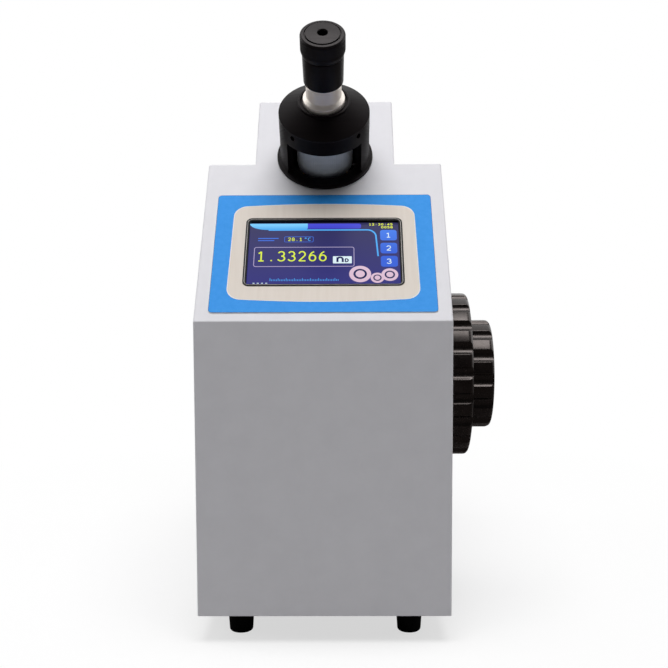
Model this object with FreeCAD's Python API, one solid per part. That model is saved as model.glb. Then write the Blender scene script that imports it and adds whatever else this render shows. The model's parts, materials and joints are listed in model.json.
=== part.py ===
"""Benchtop refractometer: a painted casing with a sloping display face, an eyepiece tower
on the slope, two coaxial handwheels on the right and a prism table in the left recess.

Lengths are millimetres and angles are degrees. The casing is drawn with its middle plane at
X = 0, its front face at Y = 0 and its underside at Z = 0. Everything is moved at the end, so
that the origin lies under the middle of the whole part, level with the soles of the feet.
"""
import FreeCAD, Part
import math
import os

from FreeCAD import Vector

# Casing
case_width = 155.6
front_height = 181.2
slope_angle = 45.0
shoulder_slope = 137.0
neck_slope = 201.4
neck_width = 93.2
case_depth = 325.0
shoulder_land = 4.0
deck_rise = 23.8
wall = 2.0
edge_radius = 1.2
rear_flange = 12.0
rear_cover_thickness = 2.5
cover_reveal = 0.3

# Base plate, feet and screws
base_thickness = 2.5
base_gap = 0.15
base_upstand = 14.0
foot_top_radius = 8.4
foot_bottom_radius = 7.3
foot_height = 17.3
foot_rounding = 2.0
foot_spacing_x = 106.0
foot_inset_y = 24.5
foot_screw_radius = 2.0
foot_screw_head_radius = 4.0
foot_recess_depth = 9.0
side_screw_height = 9.0
side_screw_radius = 1.5
side_screw_head_radius = 2.9
side_screw_length = 6.0
screw_head_seat = 0.3
vent_slot_width = 3.0
vent_slot_length = 34.0
vent_pitch = 8.0
vent_count = 7

# Display, in slope coordinates: x across, s up the slope, h out of it
overlay_half_width = 69.6
overlay_low = 6.1
overlay_high = 107.5
overlay_thickness = 0.5
overlay_corner = 4.0
bezel_half_width = 49.8
bezel_low = 27.5
bezel_high = 85.6
bezel_corner = 4.0
bezel_rim = 1.3
bezel_proud = 1.0
screen_half_width = 47.5
screen_low = 28.9
screen_high = 83.0
screen_corner = 1.0
glass_thickness = 1.1
module_width = 105.6
module_height = 67.2
module_thickness = 5.0
board_width = 120.0
board_height = 82.0
board_thickness = 1.6
board_gap = 6.0
ribbon_width = 30.0
ribbon_length = 8.0
ribbon_drop = 26.0
standoff_radius = 2.6
standoff_inset = 5.0
fit_gap = 0.1

# Eyepiece tower, in slope coordinates about its own axis
tower_slope = 144.4
flange_radius = 32.0
flange_edge = 1.9
flange_bore = 24.0
cage_radius = 29.65
cage_bore = 25.2
flange_flare = 6.0
window_low = 2.8
window_high = 27.3
window_half_angle = 54.5
cage_height = 38.6
cap_cone_low = 39.4
cap_cone_high = 46.6
collar_radius = 16.9
collar_bore = 15.1
collar_top = 48.6
cap_recess = 46.9
cap_low = 29.6
neck_bore = 12.6
set_screw_height = 35.4
set_screw_angle = 45.7
set_screw_turn = 2.9
set_screw_radius = 1.9
drum_radius = 18.5
drum_low = -4.0
drum_high = 28.8
drum_spigot_radius = 14.0
drum_spigot_high = 34.5
drum_bore = 10.2
running_gap = 0.05
axial_gap = 0.3

# Dispersion compensator below the slope
housing_radius = 28.0
housing_low = -52.0
housing_bore = 24.0
housing_floor = -18.0
housing_floor_thickness = 3.0
cell_radius = 15.0
cell_bore = 10.2
cell_low = -38.0
cell_high = -14.0
lower_tube_radius = 19.0
amici_half = 7.0
idler_radius = 4.75
idler_thickness = 3.0
idler_ring_radius = 13.0
idler_bore = 1.25
crown_tooth_count = 38
idler_tooth_count = 14
tooth_depth = 0.7
objective_radius = 12.5
objective_low = -49.0
objective_thickness = 6.0
objective_bore = 10.5

# Eyepiece
foot_ring_radius = 13.5
foot_ring_edge = 0.2
foot_ring_high = 51.0
silver_radius = 11.4
silver_cone_high = 53.2
silver_step_low = 62.1
silver_step = 0.25
silver_high = 63.6
silver_spigot_radius = 10.4
silver_spigot_high = 72.0
silver_bore = 8.0
sleeve_low_radius = 11.6
sleeve_radius = 12.7
sleeve_top_radius = 13.1
sleeve_high = 85.2
sleeve_chamfer = 1.1
lens_cell_radius = 11.0
lens_cell_bore = 8.5
lens_cell_low = 75.0
lens_cell_high = 97.1
reticle_thickness = 1.5
eye_lens_low = 86.0
eye_lens_thickness = 6.0
head_low_radius = 13.15
head_radius = 14.1
head_waist = 88.8
head_high = 100.07
head_roof = 2.6
head_edge = 0.8
head_ring_rise = 0.2
head_dome_edge = 0.5
head_dome = 1.2
groove_radius = 11.2
groove_width = 0.7
groove_depth = 0.5
exit_hole_radius = 3.1

# Optical carriage behind the slope
carriage_side_gap = 4.6
carriage_web = 6.0
carriage_top_plate = 6.0
carriage_shoulder = 22.0
carriage_rear_rise = 8.0
carriage_foot_front = 58.0
carriage_foot_rear = 200.0
carriage_foot_thickness = 6.0
display_clearance = 34.0
top_plate_low = 110.0
top_plate_high = 182.0
web_window_radius = 22.0
web_window_front = 32.0
web_window_rear = 50.0
web_window_low = 60.0
web_window_high = 125.0
web_eye_radius = 11.0
web_eye_slope = 69.9
web_eye_depth = 54.6
mirror_depth = 88.7
scan_shaft_radius = 5.0
scan_shaft_right_gap = 0.6
scan_shaft_left_gap = 1.2
mirror_width = 26.0
mirror_height = 24.0
mirror_thickness = 3.0
mirror_seat = 3.5
encoder_radius = 21.0
encoder_thickness = 1.0
sector_x = 22.0
sector_thickness = 4.0
sector_half_angle = 17.0
sector_rim = 12.0
sector_arm = 14.0
sector_hub_radius = 11.0
pinion_radius = 10.0
pinion_teeth = 20
mesh_gap = 0.25
fold_mirror_y = 132.0
fold_mirror_size = 18.0
light_port_radius = 9.0
tie_drop = 40.0
mirror_space = 60.0

# Handwheels on the right, axis along X
wheel_y = 75.0
wheel_z = 139.5
wheel_gap = 1.5
coarse_radius = 53.2
coarse_thickness = 13.7
coarse_flutes = 21
coarse_flute_chord = 8.1
coarse_flute_turn = 5.3
fine_radius = 35.3
fine_thickness = 14.6
fine_flutes = 14
fine_flute_chord = 8.6
fine_flute_turn = 12.6
flute_depth = 2.3
wheel_rounding = 3.0
wheel_step = 0.5
shaft_radius = 8.0
shaft_left = 14.0
fine_shaft_radius = 4.0
fine_collar_radius = 7.0
fine_collar = 4.0
bush_radius = 11.0
bush_flange_radius = 15.0
bush_flange = 3.0
bush_inside = 5.5
retainer_radius = 10.8
retainer_thickness = 3.2
hub_recess_radius = 24.0
hub_recess = 1.6
hub_cap_radius = 8.5
hub_cap_height = 1.1

# Prism table in the left recess
prism_neck_gap = 2.4
prism_width = 24.0
prism_front = 112.0
prism_length = 40.0
prism_foot_plate = 4.0
prism_box_height = 20.25
prism_lid_height = 16.0
prism_gap = 0.25
prism_wall = 4.5
prism_pocket = 15.0
prism_foot_margin = 4.0
exit_spigot_radius = 8.0
exit_spigot_inside = 3.0
hinge_inset = 2.2
hinge_barrel_radius = 2.3
hinge_pin_radius = 1.2
nipple_radius = 3.0
nipple_barb_radius = 3.6
nipple_bore = 1.6
nipple_length = 18.0
nipple_spread = 10.0
lower_nipple_rise = 9.0
upper_nipple_rise = 9.25
probe_radius = 3.4
probe_rise = 7.0
latch_radius = 4.6
latch_length = 7.0
latch_rise = 8.25
latch_inset = 6.2
lamp_post_radius = 5.0
lamp_post_y = 186.0
lamp_arm_rise = 36.25
lamp_arm_thickness = 6.0
lamp_arm_width = 9.0
lamp_head_radius = 8.0
lamp_head_hang = 2.9
lamp_head_length = 14.4

# Electronics and the rear panel
panel_row_height = 42.0
inlet_x = -42.0
inlet_width = 28.0
inlet_height = 21.0
inlet_flange_width = 50.0
inlet_flange_height = 27.0
inlet_flange = 2.5
inlet_depth = 24.0
inlet_cavity = 16.0
inlet_pin = 9.0
inlet_screw_inset = 5.0
inlet_screw_radius = 2.4
inlet_screw_head = 0.6
switch_x = 4.0
switch_width = 19.0
switch_height = 27.0
switch_depth = 20.0
rocker_tilt = 8.0
rocker_pivot = 4.0
rocker_pin_radius = 1.0
port_x = 46.0
port_width = 31.0
port_height = 12.5
port_shell_width = 17.0
port_shell_height = 8.4
port_shell_proud = 2.0
supply_width = 110.0
supply_height = 34.0
supply_front_gap = 11.5
supply_rear_gap = 27.5
main_board_width = 118.0
main_board_gap = 2.5
main_board_pillar_inset = 4.0
main_board_height = 62.0
screw_head_radius = 3.0
screw_head_height = 1.8

# Values that follow from the ones above
case_half = case_width / 2
neck_half = neck_width / 2
neck_inside = neck_half - wall
carriage_half_width = neck_inside - carriage_side_gap
scan_shaft_right = neck_inside - scan_shaft_right_gap
scan_shaft_left = scan_shaft_left_gap - neck_inside
slope_cos = math.cos(math.radians(slope_angle))
slope_sin = math.sin(math.radians(slope_angle))
slope_tan = slope_sin / slope_cos
deck_height = front_height + deck_rise
shoulder_y = shoulder_slope * slope_cos
shoulder_z = front_height + shoulder_slope * slope_sin
neck_z = front_height + neck_slope * slope_sin
recess_y = shoulder_y + shoulder_land
rear_y = case_depth + rear_cover_thickness
coarse_x = case_half + wheel_gap
fine_x = coarse_x + coarse_thickness + wheel_step
right_most = fine_x + fine_thickness
rear_most = rear_y + inlet_flange
scan_y = tower_slope * slope_cos + mirror_depth * slope_sin
scan_z = front_height + tower_slope * slope_sin - mirror_depth * slope_cos
prism_right = -neck_half - prism_neck_gap
exit_spigot_end = exit_spigot_inside - neck_half
prism_left = prism_right - prism_width
prism_base = deck_height + prism_foot_plate
prism_split = prism_base + prism_box_height
lower_nipple_height = prism_base + lower_nipple_rise
upper_nipple_height = prism_split + upper_nipple_rise
probe_height = prism_base + probe_rise
latch_height = prism_split + latch_rise
lamp_arm_low = prism_split + lamp_arm_rise
lamp_head_low = lamp_arm_low - lamp_head_hang
lamp_head_high = lamp_head_low + lamp_head_length
rear_space = case_depth - inlet_depth - carriage_foot_rear
main_board_length = rear_space - 2 * main_board_gap
prism_mid_x = (prism_left + prism_right) / 2
prism_rear = prism_front + prism_length
hinge_x = prism_left - hinge_inset
origin = Vector((right_most - case_half) / 2, rear_most / 2, -foot_height)

X_AXIS = Vector(1, 0, 0)
Y_AXIS = Vector(0, 1, 0)
Z_AXIS = Vector(0, 0, 1)


def box(x0, x1, y0, y1, z0, z1):
    """A block between two corners."""
    return Part.makeBox(x1 - x0, y1 - y0, z1 - z0, Vector(x0, y0, z0))


def rod(radius, start, length, axis=Z_AXIS):
    """A round bar from a start point along an axis."""
    return Part.makeCylinder(radius, length, Vector(*start), axis)


def tube(radius, bore, start, length, axis=Z_AXIS):
    """A round bar with a round hole right through."""
    return rod(radius, start, length, axis).cut(rod(bore, start, length, axis))


def turned(profile):
    """A solid turned about Z from a closed outline of (radius, height) points."""
    points = [Vector(r, 0, h) for r, h in profile]
    face = Part.Face(Part.makePolygon(points + points[:1]))
    return face.revolve(Vector(0, 0, 0), Z_AXIS, 360)


def side_plate(outline, x0, x1):
    """A plate between two X values, cut to an outline of (y, z) points."""
    points = [Vector(x0, y, z) for y, z in outline]
    face = Part.Face(Part.makePolygon(points + points[:1]))
    return face.extrude(Vector(x1 - x0, 0, 0))


def rear_plate(outline, y0, y1):
    """A plate between two Y values, cut to an outline of (x, z) points."""
    points = [Vector(x, y0, z) for x, z in outline]
    face = Part.Face(Part.makePolygon(points + points[:1]))
    return face.extrude(Vector(0, y1 - y0, 0))


def rounded_slab(half_width, low, high, corner, h0, h1):
    """A slab with rounded corners, in slope coordinates."""
    slab = Part.makeBox(2 * half_width, high - low, h1 - h0, Vector(-half_width, low, h0))
    uprights = [e for e in slab.Edges if abs(e.Vertexes[0].Z - e.Vertexes[1].Z) > (h1 - h0) / 2]
    return slab.makeFillet(corner, uprights)


def on_slope(shape):
    """Moves a shape from slope coordinates (x, s, h) onto the sloping face."""
    placed = shape.copy()
    placed.rotate(Vector(0, 0, 0), X_AXIS, slope_angle)
    placed.translate(Vector(0, 0, front_height))
    return placed


def on_tower(shape):
    """Moves a shape from tower coordinates, with Z along the tower's axis, onto the slope."""
    placed = shape.copy()
    placed.translate(Vector(0, tower_slope, 0))
    return on_slope(placed)


def ring_of(tool, count, axis_point, axis, offset=0.0):
    """Copies of a tool, spaced evenly round an axis."""
    copies = []
    for index in range(count):
        turned_copy = tool.copy()
        turned_copy.rotate(axis_point, axis, offset + index * 360.0 / count)
        copies.append(turned_copy)
    return copies


def slope_point(s, depth):
    """The (y, z) of a point at distance s up the slope and at a depth behind it."""
    return (s * slope_cos + depth * slope_sin, front_height + s * slope_sin - depth * slope_cos)


# Casing


def wide_outline(inset):
    """Side view of the full-width lower body, moved inwards by an inset."""
    lift = inset / slope_cos
    top = shoulder_z - inset
    low = inset if inset == 0 else -1.0
    start_z = front_height + inset * slope_tan - lift
    crest_y = (top - front_height + lift) / slope_tan
    end_y = case_depth + (1.0 if inset else 0.0)
    return [(inset, low), (inset, start_z), (crest_y, top), (recess_y - inset, top),
            (recess_y - inset, deck_height - inset), (end_y, deck_height - inset), (end_y, low)]


def neck_outline(inset):
    """Side view of the narrow neck, moved inwards by an inset."""
    lift = inset / slope_cos
    top = neck_z - inset
    low = inset if inset == 0 else -1.0
    start_z = front_height + inset * slope_tan - lift
    crest_y = (top - front_height + lift) / slope_tan
    end_y = case_depth + (1.0 if inset else 0.0)
    return [(inset, low), (inset, start_z), (crest_y, top), (end_y, top), (end_y, low)]


def casing_block(inset):
    """The casing's whole volume, moved inwards by an inset."""
    wide = side_plate(wide_outline(inset), inset - case_half, case_half - inset)
    neck = side_plate(neck_outline(inset), inset - neck_half, neck_half - inset)
    return wide.fuse(neck).removeSplitter()


def rear_outline(inset):
    """Back view of the casing: a wide body with a narrow neck."""
    w, n = case_half - inset, neck_half - inset
    d, t, b = deck_height - inset, neck_z - inset, inset
    return [(-w, b), (w, b), (w, d), (n, d), (n, t), (-n, t), (-n, d), (-w, d)]


def rear_screw_places():
    """Where the rear cover is screwed on, as (x, z)."""
    edge = wall + rear_flange / 2
    low, mid, top = edge, deck_height / 2, neck_z - edge
    heights = (low + rear_flange, mid, deck_height - edge)
    sides = [(sign * (case_half - edge), z) for sign in (-1, 1) for z in heights]
    return sides + [(sign * (neck_half - edge), top) for sign in (-1, 1)]


def side_screw_places():
    """Where the casing's sides are screwed to the base plate's upstands, as y."""
    return [case_depth * share for share in (0.15, 0.5, 0.85)]


def foot_places():
    """Centres of the four feet, with their names."""
    half = foot_spacing_x / 2
    front, rear = foot_inset_y, case_depth - foot_inset_y
    return {"front_left_foot": (-half, front), "front_right_foot": (half, front),
            "rear_left_foot": (-half, rear), "rear_right_foot": (half, rear)}


def is_outer_bend(ends):
    """True for a bend that stands out: not an open edge, nor an inside corner of the recesses."""
    tiny = 0.01
    open_below = all(p.z < tiny for p in ends)
    open_behind = all(p.y > case_depth - tiny for p in ends)
    at_neck = all(abs(abs(p.x) - neck_half) < tiny and p.z < shoulder_z + tiny for p in ends)
    at_deck = all(abs(p.z - deck_height) < tiny and abs(p.y - recess_y) < tiny for p in ends)
    return not (open_below or open_behind or at_neck or at_deck)


def main_cover():
    """One bent and welded sheet casing, open below and behind."""
    outer = casing_block(0.0)
    bends = [e for e in outer.Edges if is_outer_bend([v.Point for v in e.Vertexes])]
    shell = outer.makeFillet(edge_radius, bends).cut(casing_block(wall))
    inner = rear_plate(rear_outline(wall), case_depth - wall, case_depth)
    lip = inner.cut(rear_plate(rear_outline(wall + rear_flange), case_depth - wall, case_depth))
    lip = lip.cut(box(-case_half, case_half, 0, case_depth, 0, base_thickness + base_upstand + 1))
    shell = shell.fuse(lip)
    window = rounded_slab(screen_half_width + bezel_rim + fit_gap, screen_low - bezel_rim / 2 - fit_gap,
                          screen_high + bezel_rim + fit_gap, screen_corner + bezel_rim, -2 * wall, wall)
    cuts = [on_slope(window), on_tower(rod(housing_radius + fit_gap, (0, 0, -2 * wall), 3 * wall))]
    cuts.append(rod(bush_radius + fit_gap, (case_half - 2 * wall, wheel_y, wheel_z), 3 * wall, X_AXIS))
    cuts.append(rod(exit_spigot_radius + fit_gap, (-neck_half - wall, fold_mirror_y, scan_z),
                    3 * wall, X_AXIS))
    cuts.append(rod(probe_radius + fit_gap, (prism_mid_x, recess_y - 2 * wall, probe_height),
                    3 * wall, Y_AXIS))
    for x, z in rear_screw_places():
        cuts.append(rod(side_screw_radius, (x, case_depth - 2 * wall, z), 3 * wall, Y_AXIS))
    for y in side_screw_places():
        cuts.append(rod(side_screw_radius, (-case_half - 1, y, side_screw_height), case_width + 2, X_AXIS))
        cuts += [side_screw_head(side, y, fit_gap) for side in (-1, 1)]
    return shell.cut(Part.Compound(cuts))


def side_screw_head(side, y, spare):
    """A countersunk head, flush with one side of the casing."""
    point = Vector(side * (case_half - wall + screw_head_seat), y, side_screw_height)
    return Part.makeCone(side_screw_radius, side_screw_head_radius + spare, wall - screw_head_seat,
                         point, Vector(side, 0, 0))


def rear_cover():
    """Screwed rear panel with the mains inlet, the switch, the port and two vent fields."""
    plate = rear_plate(rear_outline(cover_reveal), case_depth, rear_y)
    cuts = [rod(side_screw_radius + fit_gap, (x, case_depth - 1, z), rear_cover_thickness + 2, Y_AXIS)
            for x, z in rear_screw_places()]
    openings = ((inlet_x, inlet_width, inlet_height), (switch_x, switch_width, switch_height),
                (port_x, port_shell_width, port_shell_height))
    for x, width, height in openings:
        half_w, half_h = width / 2 + fit_gap, height / 2 + fit_gap
        cuts.append(box(x - half_w, x + half_w, case_depth - 1, rear_y + 1,
                        panel_row_height - half_h, panel_row_height + half_h))
    for base in (deck_height * 0.46, deck_height * 1.12):
        for index in range(vent_count):
            z = base + index * vent_pitch
            for x in (-vent_slot_length - 2, 2):
                cuts.append(box(x, x + vent_slot_length, case_depth - 1, rear_y + 1, z, z + vent_slot_width))
    return plate.cut(Part.Compound(cuts))


def base_plate():
    """Folded steel tray that carries the feet, the carriage and the electronics."""
    half = case_half - wall - base_gap
    front, rear = wall + base_gap, case_depth - wall - base_gap
    tray = box(-half, half, front, rear, 0, base_thickness)
    for side in (-1, 1):
        inner, outer = sorted((side * half, side * (half - 1.5)))
        tray = tray.fuse(box(inner, outer, front + 6, rear - 6, 0, base_upstand))
    cuts = [rod(foot_screw_radius + fit_gap, (x, y, -1), base_thickness + 2)
            for x, y in foot_places().values()]
    cuts += [rod(side_screw_radius, (-case_half, y, side_screw_height), case_width, X_AXIS)
             for y in side_screw_places()]
    for index in range(vent_count):
        y = case_depth * 0.74 + index * vent_pitch - vent_count * vent_pitch / 2
        for x in (-vent_slot_length - 6, 6):
            cuts.append(box(x, x + vent_slot_length, y, y + vent_slot_width, -1, base_thickness + 1))
    return tray.cut(Part.Compound(cuts)).removeSplitter()


def foot(x, y):
    """Moulded rubber foot, slightly tapered, with a recess for its screw."""
    body = Part.makeCone(foot_bottom_radius, foot_top_radius, foot_height, Vector(x, y, -foot_height))
    rim = [e for e in body.Edges if e.BoundBox.ZMax < 0.01 - foot_height]
    body = body.makeFillet(foot_rounding, rim)
    recess = rod(foot_screw_head_radius + 0.3, (x, y, -foot_height - 1), foot_recess_depth + 1)
    return body.cut(recess).cut(rod(foot_screw_radius, (x, y, -foot_height), foot_height + 1))


def pan_screw(head_radius, head_height, shank_radius, shank, point, axis):
    """A pan-head screw: point is under the head, and axis leads from the shank to the head."""
    head = Part.makeCylinder(head_radius, head_height, point, axis)
    top = [e for e in head.Edges if len(e.Vertexes) == 1
           and abs((e.Vertexes[0].Point - point).dot(axis) - head_height) < 0.01]
    head = head.makeFillet(head_height * 0.45, top)
    socket = Part.makeCylinder(head_radius * 0.42, head_height, point + axis * head_height * 0.45, axis)
    shank_start = point - axis * shank
    return head.cut(socket).fuse(Part.makeCylinder(shank_radius, shank, shank_start, axis))


def foot_screws():
    """Four screws, up through the feet into the base plate."""
    seat = foot_recess_depth - foot_height
    return [pan_screw(foot_screw_head_radius, 2.4, foot_screw_radius, base_thickness + 1.5 - seat,
                      Vector(x, y, seat), Vector(0, 0, -1)) for x, y in foot_places().values()]


def side_screws():
    """Countersunk screws from the casing's sides into the base plate."""
    screws = []
    for side in (-1, 1):
        for y in side_screw_places():
            tip = Vector(side * (case_half - wall - side_screw_length), y, side_screw_height)
            shank = Part.makeCylinder(side_screw_radius, side_screw_length + screw_head_seat,
                                      tip, Vector(side, 0, 0))
            screws.append(side_screw_head(side, y, 0.0).fuse(shank))
    return screws


def rear_screws():
    """Pan-head screws of the rear cover."""
    return [pan_screw(screw_head_radius, screw_head_height, side_screw_radius,
                      rear_cover_thickness + wall, Vector(x, rear_y, z), Y_AXIS)
            for x, z in rear_screw_places()]


def casing_screws():
    """All screws of the casing: feet, sides and rear cover."""
    return Part.Compound(foot_screws() + side_screws() + rear_screws())


# Display


def panel_overlay():
    """Printed overlay sheet on the slope, with a window for the display."""
    sheet = rounded_slab(overlay_half_width, overlay_low, overlay_high, overlay_corner, 0, overlay_thickness)
    gap = fit_gap
    window = rounded_slab(bezel_half_width + gap, bezel_low - gap, bezel_high + gap, bezel_corner, -1, 2)
    return on_slope(sheet.cut(window))


def display_bezel():
    """Thin black frame round the display, let into the casing's window."""
    flange = rounded_slab(bezel_half_width, bezel_low, bezel_high, bezel_corner, 0, bezel_proud)
    collar = rounded_slab(screen_half_width + bezel_rim, screen_low - bezel_rim / 2,
                          screen_high + bezel_rim, screen_corner + bezel_rim, -wall, 0.5)
    hole = rounded_slab(screen_half_width, screen_low, screen_high, screen_corner, -2 * wall, 2 * wall)
    frame = flange.fuse(collar).cut(hole)
    return on_slope(frame.removeSplitter())


def touch_glass():
    """Cover glass of the touch display, inside the bezel."""
    gap = fit_gap / 2
    return on_slope(rounded_slab(screen_half_width - gap, screen_low + gap, screen_high - gap,
                                 screen_corner, -wall, glass_thickness - wall))


def module_slab(width, height, h0, h1, middle):
    """A plain block under the display, centred on its middle line."""
    return Part.makeBox(width, height, h1 - h0, Vector(-width / 2, middle - height / 2, h0))


display_middle = (screen_low + screen_high) / 2
module_back = -wall - module_thickness
board_back = module_back - board_gap - board_thickness


def lcd_module():
    """Liquid crystal panel in its metal tray, against the inside of the casing."""
    tray = module_slab(module_width, module_height, module_back, -wall, display_middle)
    return on_slope(tray)


def standoff_points():
    """Corners of the display board, in slope coordinates."""
    half_w, half_h = board_width / 2 - standoff_inset / 2, board_height / 2 - standoff_inset / 2
    return [(sx * half_w, display_middle + sy * half_h) for sx in (-1, 1) for sy in (-1, 1)]


def display_board():
    """Driver board behind the display, with its connectors."""
    board = module_slab(board_width, board_height, board_back, board_back + board_thickness, display_middle)
    for x, y in standoff_points():
        board = board.cut(rod(1.6, (x, y, board_back - 1), 4))
    parts = [(-30, -12, 22, 14, 3.0), (14, 6, 26, 10, 4.5), (-12, 16, 16, 16, 1.6)]
    for x, y, width, height, tall in parts:
        part = Part.makeBox(width, height, tall,
                            Vector(x, display_middle + y - height / 2, board_back - tall))
        board = board.fuse(part)
    ribbon = module_slab(ribbon_width, ribbon_length, board_back + board_thickness, module_back,
                         display_middle - ribbon_drop)
    return on_slope(board.fuse(ribbon))


def board_standoffs():
    """Pillars of the display board and of the main board."""
    pillars = []
    for x, s in standoff_points():
        pillars.append(on_slope(rod(standoff_radius, (x, s, board_back + board_thickness),
                                    -wall - board_back - board_thickness)))
    for x, y in main_board_corners():
        pillars.append(rod(standoff_radius, (x, y, base_thickness), main_board_height - base_thickness))
    return Part.Compound(pillars)


# Eyepiece tower


def window_wedges():
    """Two wedges, front and rear, that open the cage's wall."""
    reach = 2 * flange_radius
    across = reach * math.tan(math.radians(window_half_angle))
    tall = window_high - window_low
    wedges = []
    for sign in (-1, 1):
        points = [Vector(0, 0, window_low), Vector(across, sign * reach, window_low),
                  Vector(-across, sign * reach, window_low)]
        wedges.append(Part.Face(Part.makePolygon(points + points[:1])).extrude(Vector(0, 0, tall)))
    return wedges


def set_screw_bars(radius, start, length):
    """Radial bars at the set screws' four places round the tower."""
    bars = []
    for angle in (set_screw_angle, -set_screw_angle, 180 - set_screw_angle, 180 + set_screw_angle):
        bar = rod(radius, (0, -start - length, set_screw_height), length, Y_AXIS)
        bar.rotate(Vector(0, 0, 0), Z_AXIS, angle + set_screw_turn)
        bars.append(bar)
    return bars


def tower_cage():
    """Flange and windowed wall: the dispersion drum is turned through its windows."""
    rise = flange_flare - flange_edge
    flare = [(cage_radius + (flange_radius - cage_radius) * (1 - math.sin(math.radians(a))),
              flange_edge + rise * (1 - math.cos(math.radians(a)))) for a in range(15, 91, 15)]
    profile = [(flange_bore, 0), (flange_radius - 0.4, 0), (flange_radius, 0.4), (flange_radius, flange_edge)]
    profile += flare + [(cage_radius, cage_height), (cage_bore, cage_height), (cage_bore, window_low),
                        (flange_bore, window_low)]
    cage = turned(profile)
    cage = cage.cut(Part.Compound(window_wedges()))
    cage = cage.cut(Part.Compound(set_screw_bars(set_screw_radius, cage_bore - 2, 10)))
    return on_tower(cage)


def tower_cap():
    """Conical cap with its collar: its spigot sits in the cage and its bore guides the drum."""
    profile = [(drum_spigot_radius + running_gap, cap_low), (cage_bore - fit_gap, cap_low),
               (cage_bore - fit_gap, cage_height), (cage_radius, cage_height),
               (cage_radius, cap_cone_low), (collar_radius + 0.9, cap_cone_high),
               (collar_radius, cap_cone_high + 0.5), (collar_radius, collar_top - 0.4),
               (collar_radius - 0.4, collar_top), (collar_bore + 0.3, collar_top),
               (collar_bore, collar_top - 0.3), (collar_bore, cap_recess), (neck_bore, cap_recess),
               (neck_bore, drum_spigot_high + axial_gap),
               (drum_spigot_radius + running_gap, drum_spigot_high + axial_gap)]
    return on_tower(turned(profile).cut(Part.Compound(set_screw_bars(1.2, cage_bore - 4, 5))))


def cap_set_screws():
    """Four grub screws that hold the cap in the cage."""
    screws = []
    for bar, socket in zip(set_screw_bars(1.2, cage_bore - 4, 5.5), set_screw_bars(0.7, cage_bore, 3)):
        screws.append(bar.cut(socket))
    return on_tower(Part.Compound(screws))


def crown_slots(radius_in, radius_out, height, up):
    """Shallow radial slots that leave crown teeth on the end of a sleeve."""
    pitch = 2 * math.pi * idler_ring_radius / crown_tooth_count
    low = height - tooth_depth if up else height
    slot = Part.makeBox(radius_out - radius_in + 0.2, pitch / 2, tooth_depth,
                        Vector(radius_in - 0.1, -pitch / 4, low))
    return Part.Compound(ring_of(slot, crown_tooth_count, Vector(0, 0, 0), Z_AXIS))


def compensator_drum():
    """Drum that the user turns, with the upper prism's seat and crown teeth below."""
    tooth_out, tooth_in = idler_ring_radius + idler_thickness / 2, idler_ring_radius - idler_thickness / 2
    profile = [(drum_bore, drum_low), (drum_radius - 0.5, drum_low), (drum_radius, drum_low + 0.5),
               (drum_radius, drum_high - 0.5), (drum_radius - 0.5, drum_high),
               (drum_spigot_radius, drum_high), (drum_spigot_radius, drum_spigot_high),
               (drum_bore, drum_spigot_high)]
    return on_tower(turned(profile).cut(crown_slots(tooth_in, tooth_out, drum_low, False)))


def amici_prism(low, high):
    """Three-piece direct-vision prism, shown as one square glass block in its cell."""
    return box(-amici_half, amici_half, -amici_half, amici_half, low, high)


def drum_prism():
    return on_tower(amici_prism(drum_low + 3, drum_high))


def counter_cell():
    """Lower prism cell, which turns against the drum."""
    tooth_out, tooth_in = idler_ring_radius + idler_thickness / 2, idler_ring_radius - idler_thickness / 2
    cell = tube(cell_radius, cell_bore, (0, 0, cell_low), cell_high - cell_low)
    return on_tower(cell.cut(crown_slots(tooth_in, tooth_out, cell_high, True)))


def counter_prism():
    return on_tower(amici_prism(cell_low + 2, cell_high - 2))


def idler_pinion():
    """Small pinion between the drum and the lower cell, on a radial pin."""
    middle = (drum_low + cell_high) / 2
    start = idler_ring_radius - idler_thickness / 2
    wheel = tube(idler_radius, idler_bore, (start, 0, middle), idler_thickness, X_AXIS)
    pitch = 2 * math.pi * idler_radius / idler_tooth_count
    slot = Part.makeBox(idler_thickness, pitch / 2, tooth_depth,
                        Vector(start, -pitch / 4, middle + idler_radius - tooth_depth))
    slots = ring_of(slot, idler_tooth_count, Vector(0, 0, middle), X_AXIS)
    return on_tower(wheel.cut(Part.Compound(slots)))


def idler_pin():
    """Pin that carries the idler pinion, pressed into the housing's wall."""
    middle = (drum_low + cell_high) / 2
    start = idler_ring_radius - idler_thickness / 2 - 1
    pin = rod(idler_bore - running_gap, (start, 0, middle), housing_radius - start, X_AXIS)
    shoulder_start = idler_ring_radius + idler_thickness / 2 + axial_gap
    shoulder = rod(idler_bore + 1, (shoulder_start, 0, middle), housing_bore - shoulder_start, X_AXIS)
    shoulder = shoulder.common(rod(housing_bore, (0, 0, middle - idler_radius), 2 * idler_radius))
    return on_tower(pin.fuse(shoulder))


def tower_housing():
    """Turned housing under the slope: it carries the lower cell and the objective."""
    floor_low = housing_floor - housing_floor_thickness
    bore = cell_radius + running_gap
    profile = [(housing_bore, 0), (housing_radius, 0), (housing_radius, floor_low),
               (lower_tube_radius, floor_low), (lower_tube_radius, housing_low),
               (objective_bore, housing_low), (objective_bore, objective_low),
               (objective_radius, objective_low), (objective_radius, cell_low - axial_gap),
               (bore, cell_low - axial_gap), (bore, housing_floor), (housing_bore, housing_floor)]
    middle = (drum_low + cell_high) / 2
    pin_hole = rod(idler_bore - running_gap, (0, 0, middle), 2 * housing_radius, X_AXIS)
    return on_tower(turned(profile).cut(pin_hole))


def lens(radius, low, thickness, bulge):
    """A lens with two shallow conical faces round a flat middle."""
    rim = bulge
    profile = [(0, low), (radius * 0.4, low), (radius, low + rim), (radius, low + thickness - rim),
               (radius * 0.4, low + thickness), (0, low + thickness)]
    return turned(profile)


def objective_lens():
    return on_tower(lens(objective_radius, objective_low, objective_thickness, 1.2))


# Eyepiece


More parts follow.
